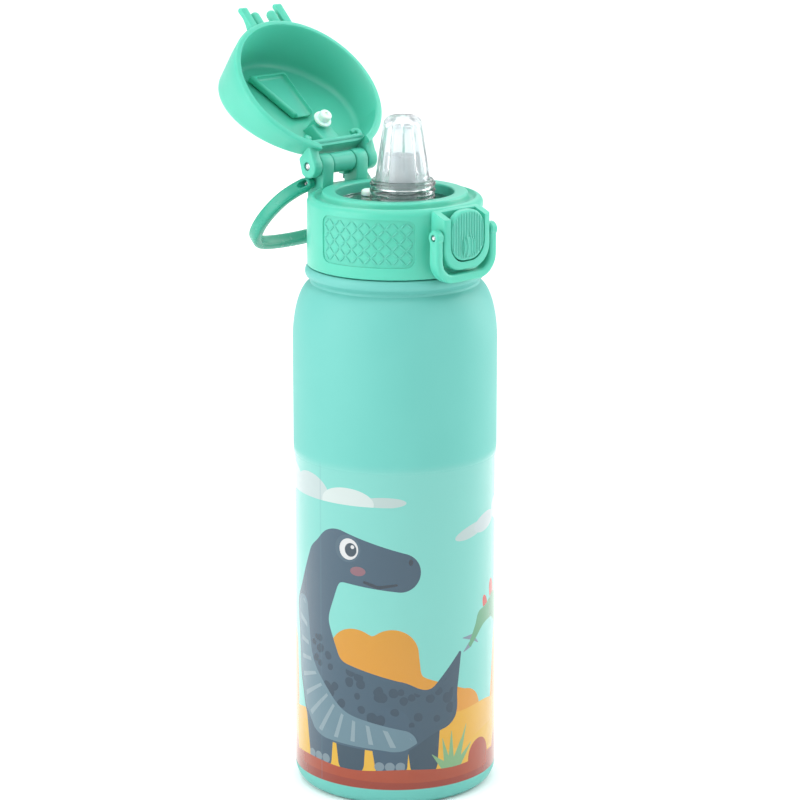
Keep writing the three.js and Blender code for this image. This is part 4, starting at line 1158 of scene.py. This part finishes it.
# %% Add the notch, the ears, the horns and the knobs
EAR_IN, EAR_OUT, EAR_RADIUS = 11.3, 15.3, 4.3
NOTCH_WALL, NOTCH_LIFT = 2.2, 2.8
notch_front = hinge.y - POST_RADIUS - 0.7
cheek = EAR_IN + NOTCH_WALL
notch_wall = box((-cheek, cheek), (notch_front - NOTCH_WALL, CAP_RIM + 1), (rim + NOTCH_LIFT, cap_top))
notch = box((-EAR_IN, EAR_IN), (notch_front, CAP_RIM + 9), (rim - 1, cap_top + 5))
hollow = combine("DIFFERENCE", outside, combine("DIFFERENCE", cavity, notch_wall), notch)

ear_line = [(hinge.y - EAR_RADIUS - 0.6, rim + 1),
            *bend(hinge.y, hinge.z, EAR_RADIUS, EAR_RADIUS, -90, 90, 20),
            (hinge.y - EAR_RADIUS - 0.6, hinge.z + 1.6)]
ears = [prism(ear_line, *beside(side, EAR_IN, EAR_OUT), "x", 0.8) for side in (-1, 1)]
RAIL_RADIUS = 0.95
rail_y, rail_z = notch_front - NOTCH_WALL + 0.2, rim + NOTCH_LIFT + 0.3
rail_end = [Vector((10.2, rail_y, rail_z)), Vector((11.7, rail_y - 0.5, rail_z + 0.1)),
            Vector((12.5, rail_y - 1.9, rail_z + 0.3)), Vector((11.5, rail_y - 3.1, rail_z + 0.8)),
            Vector((10, rail_y - 2.7, rail_z + 1.4))]
rail_path = flowing(mirrored(rail_end) + rail_end, 6)
rail = bar(rail_path, Vector((0, 0, 1)), ring(RAIL_RADIUS, 14))

HORN_SPACE, HORN_HALF, HORN_REACH, KNOB_SPACE, KNOB_REACH, KNOB_RADIUS = 8.2, 1.65, 37.5, 3.9, 35.3, 1.85
horn_line = [(-CAP_RIM + 2.4, rim + 0.5), (-HORN_REACH + 1.2, rim + 0.5),
             *bend(-HORN_REACH + 1.1, rim + 1.6, -1.1, 1.1, -80, 80, 8),
             (-CAP_RIM - 3.5, rim + 2.4), (-CAP_RIM - 1.0, rim + 2.9), (-CAP_RIM + 1.9, rim + 4.1)]
horns = [prism(horn_line, side * HORN_SPACE - HORN_HALF, side * HORN_SPACE + HORN_HALF, "x", 0.45)
         for side in (-1, 1)]
knob_line = [(0, 0)] + [(KNOB_RADIUS * math.sin(a), KNOB_RADIUS * (1 - math.cos(a))) for a in
                        (math.radians(d) for d in range(15, 91, 15))] + [(KNOB_RADIUS, 7.4), (0, 7.4)]
knobs = []
for side in (-1, 1):
    knob = lathe(knob_line, 32)
    knob.transform(Matrix.Translation((side * KNOB_SPACE, -KNOB_REACH, rim + 0.4 + KNOB_RADIUS))
                   @ Matrix.Rotation(math.radians(-90), 4, "X"))
    knobs.append(knob)
print("horns reach", round(HORN_REACH - CAP_RIM, 1), "mm past the rim")

# %% [markdown]
# Inside the cap a short post carries the vent plug, with a ramp behind it for strength.

# %% Join the cap
PLUG_Y, POST_THICK = 13.3, 2.6
VENT_RISE, PLUG_CLEAR, PLUG_LONG = 2.3, 0.5, 4.2
tip = plate_top + VENT_RISE + PLUG_CLEAR
plug_seat = tip + PLUG_LONG
post = lathe([(0, plug_seat), (POST_THICK - 0.3, plug_seat), (POST_THICK, plug_seat + 0.3),
              (POST_THICK + 0.3, ceiling(PLUG_Y) + 1), (0, ceiling(PLUG_Y) + 1)], 64, PLUG_Y)
ramp = prism([(PLUG_Y, plug_seat + 1.4), (notch_front - 1, rim + NOTCH_LIFT + 1.2),
              (notch_front - 1, ceiling(notch_front) + 0.6), (PLUG_Y - 2, ceiling(PLUG_Y - 2) + 0.6)],
             -4, 4, "x", 0.8)
cap = combine("UNION", hollow, *ears, *horns, *knobs, post, ramp)
cap = combine("DIFFERENCE", cap, rod(HINGE_BORE, -EAR_OUT - 1, EAR_OUT + 1, hinge.y, hinge.z))
place_piece("flip_cap", gather(cap, rail), lid_plastic, "cap", ["cap_shell"], opened=True)

# %% [markdown]
# The presser folds the spout shut. It is a scooped block under the ceiling, wide at the front, and every
# corner of it is well rounded so that it never cuts the silicone.

# %% Shape the presser and the plug
PRESS_FRONT, PRESS_BACK, PRESS_DROP, PRESS_LIP = 17.5, 6, 3.6, 1.5
PRESS_HALF_FRONT, PRESS_HALF_BACK = 8.5, 4.5


def under_ceiling(front, back, half_front, half_back, shallow, deep, edge):
    """A trapezoid block between two depths below the sloping ceiling."""
    form = prism([(-half_front, -front), (half_front, -front), (half_back, back), (-half_back, back)],
                 shallow, deep, "z")
    for point in form.verts:
        point.co.z = ceiling(point.co.y, point.co.z)
    bmesh.ops.recalc_face_normals(form, faces=form.faces)
    return soften(form, edge, 5)


press_block = under_ceiling(PRESS_FRONT, PRESS_BACK, PRESS_HALF_FRONT, PRESS_HALF_BACK,
                            TOUCH, PRESS_DROP, 1.2)
scoop = under_ceiling(PRESS_FRONT - PRESS_LIP, PRESS_BACK + 2.4, PRESS_HALF_FRONT - PRESS_LIP,
                      PRESS_HALF_BACK - PRESS_LIP, TOUCH + 1.5, PRESS_DROP + 3, 1.4)
place_piece("spout_press_block", combine("DIFFERENCE", press_block, scoop), lid_plastic, "cap",
            ["spout_presser"], opened=True)

plug = lathe([(0, plug_seat - TOUCH), (3.0, plug_seat - TOUCH), (3.4, plug_seat - 0.7),
              (3.3, plug_seat - 1.3), (2.3, plug_seat - 1.5), (2.3, tip + 0.9),
              *bend(1.5, tip + 0.9, 0.8, 0.9, 0, -90, 6),
              (0.9, tip), (0.7, tip + 0.5), (0, tip + 0.6)], 64, PLUG_Y)
place_piece("vent_plug_tip", plug, white_rubber, "cap", ["vent_plug"], opened=True)

# %% [markdown]
# ## The hinge
#
# A steel pin runs through both ears and posts. Between the posts a plastic sleeve covers a coil spring,
# whose leg comes down to the lid. The pin's heads are dimpled, as a pressed pin's are.

# %% Make the hinge
SLEEVE_HALF, SLEEVE_RADIUS, SLEEVE_BORE = 5.3, 3.65, 2.75
sleeve = combine("DIFFERENCE", rod(SLEEVE_RADIUS, -SLEEVE_HALF, SLEEVE_HALF, hinge.y, hinge.z, 72, 0.4),
                 rod(SLEEVE_BORE, -SLEEVE_HALF - 1, SLEEVE_HALF + 1, hinge.y, hinge.z, 48),
                 box((SLEEVE_HALF - 2.2, SLEEVE_HALF + 1), (hinge.y + 0.6, hinge.y + 3.4),
                     (hinge.z - 5, hinge.z)))
place_piece("hinge_sleeve", sleeve, lid_plastic, "lid", ["hinge_barrel"])


def pin(radius, low, high, y, z):
    """A steel pin along X with a dimple in each head."""
    half = radius * 0.55
    form = lathe([(0, low + 0.25), (half, low + 0.15), (half + 0.12, low), (radius - 0.2, low + 0.05),
                  (radius, low + 0.3), (radius, high - 0.3), (radius - 0.2, high - 0.05), (half + 0.12, high),
                  (half, high - 0.15), (0, high - 0.25)], 32)
    form.transform(Matrix.Translation((0, y, z)) @ Matrix.Rotation(math.pi / 2, 4, "Y"))
    return form


for node, radius, y, z in (("hinge_pin", HINGE_PIN, hinge.y, hinge.z),
                           ("latch_pin", SMALL_PIN, latch_pivot.y, latch_pivot.z),
                           ("handle_pin_left", SMALL_PIN, handle_pivot.y, handle_pivot.z),
                           ("handle_pin_right", SMALL_PIN, handle_pivot.y, handle_pivot.z)):
    low, high = low_high(node)
    place_piece("steel_" + node, pin(radius, low.x, high.x, y, z), pin_steel, "lid", [node])

SPRING_HALF, SPRING_RADIUS, SPRING_TURNS, SPRING_STEPS = 4.1, 2.05, 4.5, 160
wound = [2 * math.pi * SPRING_TURNS * i / SPRING_STEPS for i in range(SPRING_STEPS + 1)]
spring_path = [Vector((-SPRING_HALF + 2 * SPRING_HALF * i / SPRING_STEPS,
                       hinge.y + SPRING_RADIUS * math.cos(a), hinge.z + SPRING_RADIUS * math.sin(a)))
               for i, a in enumerate(wound)]
spring_out = [Vector((0, math.cos(a), math.sin(a))) for a in wound]
turn_back = Matrix.Translation(hinge) @ Matrix.Rotation(-wound[-1], 4, "X") @ Matrix.Translation(-hinge)
spring_path = [turn_back @ point for point in spring_path]
spring_out = [(Matrix.Rotation(-wound[-1], 4, "X") @ out) for out in spring_out]
leg_top = spring_path[-1]
spring_low = low_high("hinge_spring")[0]
spring_path += [Vector((SPRING_HALF, leg_top.y, leg_top.z - drop)) for drop in (1.0, 2.5, 4.5)]
spring_path.append(Vector((SPRING_HALF, leg_top.y, spring_low.z + 0.2)))
spring_out += [Vector((0, 1, 0))] * 4
place_piece("hinge_coil", bar(spring_path, spring_out, ring(0.35, 8)), pin_steel, "lid",
            ["hinge_spring"])

# %% [markdown]
# ## The latch
#
# The button is an oval plate that rocks on the latch pin. Upright ribs give the thumb a grip, and a small
# dome marks where to press. Each rib is its own little bar, as long as the oval is tall at that place.

# %% Make the button
button_low, button_high = low_high("latch_button")
BUTTON_HALF, BUTTON_THICK, RIB_COUNT = 7.8, 3.0, 12
RIB_PROUD, RIB_STEPS = 0.4, 24
button_front = housing_front + 0.6
plate_front = button_front - RIB_PROUD
button_bottom, button_top = button_low.z, button_high.z
button_corner = BUTTON_HALF - 1.2


def oval_plate(half, bottom, top, corner):
    return [*bend(half - corner, bottom + corner, corner, corner, -90, 0, 12),
            *bend(half - corner, top - corner, corner, corner, 0, 90, 12),
            *bend(corner - half, top - corner, corner, corner, 90, 180, 12),
            *bend(corner - half, bottom + corner, corner, corner, 180, 270, 12)]


plate_form = prism(oval_plate(BUTTON_HALF, button_bottom, button_top, button_corner),
                   -(button_front - BUTTON_THICK), -plate_front, "y")
front_edges = [e for e in plate_form.edges
               if all(abs(v.co.y + plate_front) < 1e-4 for v in e.verts) and len(e.link_faces) == 2]
bmesh.ops.bevel(plate_form, geom=front_edges, offset=0.7, segments=4, profile=0.5, affect="EDGES")
rocker = rod(2.3, -BUTTON_HALF + 0.5, BUTTON_HALF - 0.5, latch_pivot.y, latch_pivot.z)
button = combine("DIFFERENCE", combine("UNION", plate_form, rocker),
                 rod(SMALL_BORE, -BUTTON_HALF - 1, BUTTON_HALF + 1, latch_pivot.y, latch_pivot.z, 32))
PIP_RADIUS, PIP_TALL, PIP_DROP = 2.9, 1.2, 4.4
pip_z = latch_pivot.z - PIP_DROP
ribs = []
rib_span = BUTTON_HALF - 0.95
for i in range(RIB_COUNT):
    x = -rib_span + 2 * rib_span * i / (RIB_COUNT - 1)
    past_flat = max(0.0, abs(x) - (BUTTON_HALF - button_corner))
    inset = button_corner - math.sqrt(max(0.0, button_corner ** 2 - past_flat ** 2)) + 0.75
    ends = (button_bottom + inset, button_top - inset)
    heights = [ends[0] + (ends[1] - ends[0]) * k / RIB_STEPS for k in range(RIB_STEPS + 1)]
    path, sizes = [], []
    for k, z in enumerate(heights):
        away = ((x / PIP_RADIUS) ** 2 + ((z - pip_z) / (PIP_RADIUS * PIP_TALL)) ** 2) ** 0.5
        swell = max(0.0, 1 - away ** 2) ** 0.5
        shove = 0.55 * math.sin(math.pi * min(1.0, away / 1.5)) * (1 if x > 0 else -1) * (away < 1.5)
        path.append(Vector((x + shove * 0.6, -plate_front - swell * 0.95 + 0.05, z)))
        sizes.append(0.4 if k in (0, RIB_STEPS) else 1)
    ribs.append(bar(path, Vector((0, -1, 0)), bend(0, 0, 0.34, 0.34, 0, 324, 9), sizes))
pip = lathe([(0, -1.0)] + [(PIP_RADIUS * math.cos(a), 0.95 * math.sin(a)) for a in
                           (math.radians(d) for d in range(0, 90, 10))] + [(0, 0.95)], 48)
pip.transform(Matrix.Translation((0, -plate_front, pip_z)) @ Matrix.Diagonal((1, 1, PIP_TALL, 1))
              @ Matrix.Rotation(math.pi / 2, 4, "X"))
place_piece("press_button", gather(button, pip, *ribs), lid_plastic, "button",
            ["latch_button"])

coil_path, coil_out = coil(1.7, (button_front - BUTTON_THICK - 0.6 - 0.7 - COLLAR_RADIUS - 0.6) / 2.5, 2.5, 0)
push_spring = bar(coil_path, coil_out, ring(0.3, 8))
push_spring.transform(Matrix.Translation((0, -COLLAR_RADIUS - 1.3, latch_pivot.z - 6))
                      @ Matrix.Rotation(math.pi / 2, 4, "X"))
button_coil = place_piece("button_coil", push_spring, pin_steel, "lid", ["latch_spring"])
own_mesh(button_coil)

# %% [markdown]
# The lock bail is a U-shaped bar with an eye at each end. It hangs below the button here, and swings up over
# the cap's horns to lock it. The carry loop is a flat bar too, swept back from two eyes on the posts.

# %% Bend the bail
BAIL_X, BAIL_CORNER, BAIL_HALF_THICK, BAIL_HALF_DEEP, BAIL_EYE = 12.95, 7, 1.55, 2.2, 2.6
bail_low = low_high("lock_bail")[0]
foot_z = bail_low.z + BAIL_HALF_THICK
centre_z = foot_z + BAIL_CORNER
left = [(-BAIL_X, latch_pivot.z - d * (latch_pivot.z - centre_z) / 4) for d in range(4)]
round_left = bend(-BAIL_X + BAIL_CORNER, centre_z, BAIL_CORNER, BAIL_CORNER, 180, 270, 16)
half_path = left + round_left
path = [Vector((x, latch_pivot.y, z)) for x, z in half_path]
path += mirrored(path)
loop = bar(path, Vector((0, 1, 0)), rounded_bar(BAIL_HALF_THICK, BAIL_HALF_DEEP, 1.0))
eyes = [rod(BAIL_EYE, *beside(side, BAIL_X - BAIL_HALF_THICK, BAIL_X + BAIL_HALF_THICK),
            latch_pivot.y, latch_pivot.z, 48, 0.5) for side in (-1, 1)]
bail = combine("DIFFERENCE", combine("UNION", loop, *eyes),
               rod(SMALL_BORE, -16, 16, latch_pivot.y, latch_pivot.z, 32))
place_piece("lock_loop", bail, lid_plastic, "bail", ["lock_bail"])

# %% Sweep the carry loop
HANDLE_EYE_IN, HANDLE_EYE_THICK, HANDLE_EYE, HANDLE_HANG = 11.3, 3, 2.2, 46
HANDLE_WIDE, HANDLE_LONG, BAND_HALF, BAND_THICK_HALF = 22.7, 36, 2.5, 1.7
eye_x = HANDLE_EYE_IN + HANDLE_EYE_THICK / 2
shape = [(eye_x, 0), (eye_x + (HANDLE_WIDE - eye_x) * 0.45, 0.09),
         (eye_x + (HANDLE_WIDE - eye_x) * 0.82, 0.23), (HANDLE_WIDE, 0.44), (HANDLE_WIDE - 0.3, 0.66),
         (HANDLE_WIDE - 2.9, 0.85), (HANDLE_WIDE - 9.2, 0.965)]
points = [Vector((-x, s * HANDLE_LONG if s < 1 else s, 0)) for x, s in shape] + [Vector((0, HANDLE_LONG, 0))]
points += mirrored(points[:-1])
path = flowing(points, 8)
sizes = [min(1.0, 0.8 + 0.1 * min(i, len(path) - 1 - i)) for i in range(len(path))]
loop = bar(path, Vector((0, 0, 1)), rounded_bar(BAND_THICK_HALF, BAND_HALF, 1.15), sizes)
eyes = [rod(HANDLE_EYE, *beside(side, HANDLE_EYE_IN, HANDLE_EYE_IN + HANDLE_EYE_THICK), 0, 0, 48, 0.4)
        for side in (-1, 1)]
trim = [box(beside(side, HANDLE_EYE_IN - 6, HANDLE_EYE_IN), (-5, 8), (-5, 5)) for side in (-1, 1)]
handle = combine("UNION", combine("DIFFERENCE", loop, *trim), *eyes)
handle = combine("DIFFERENCE", handle, rod(SMALL_BORE, -20, 20, 0, 0, 32),
                 box((-20, 20), (-6, -HANDLE_EYE), (-6, 6)))
handle.transform(Matrix.Translation(handle_pivot) @ Matrix.Rotation(math.radians(-HANDLE_HANG), 4, "X"))
place_piece("carry_loop", handle, handle_plastic, "handle", ["carry_handle"])

# %% Update the scene
bpy.context.view_layer.update()
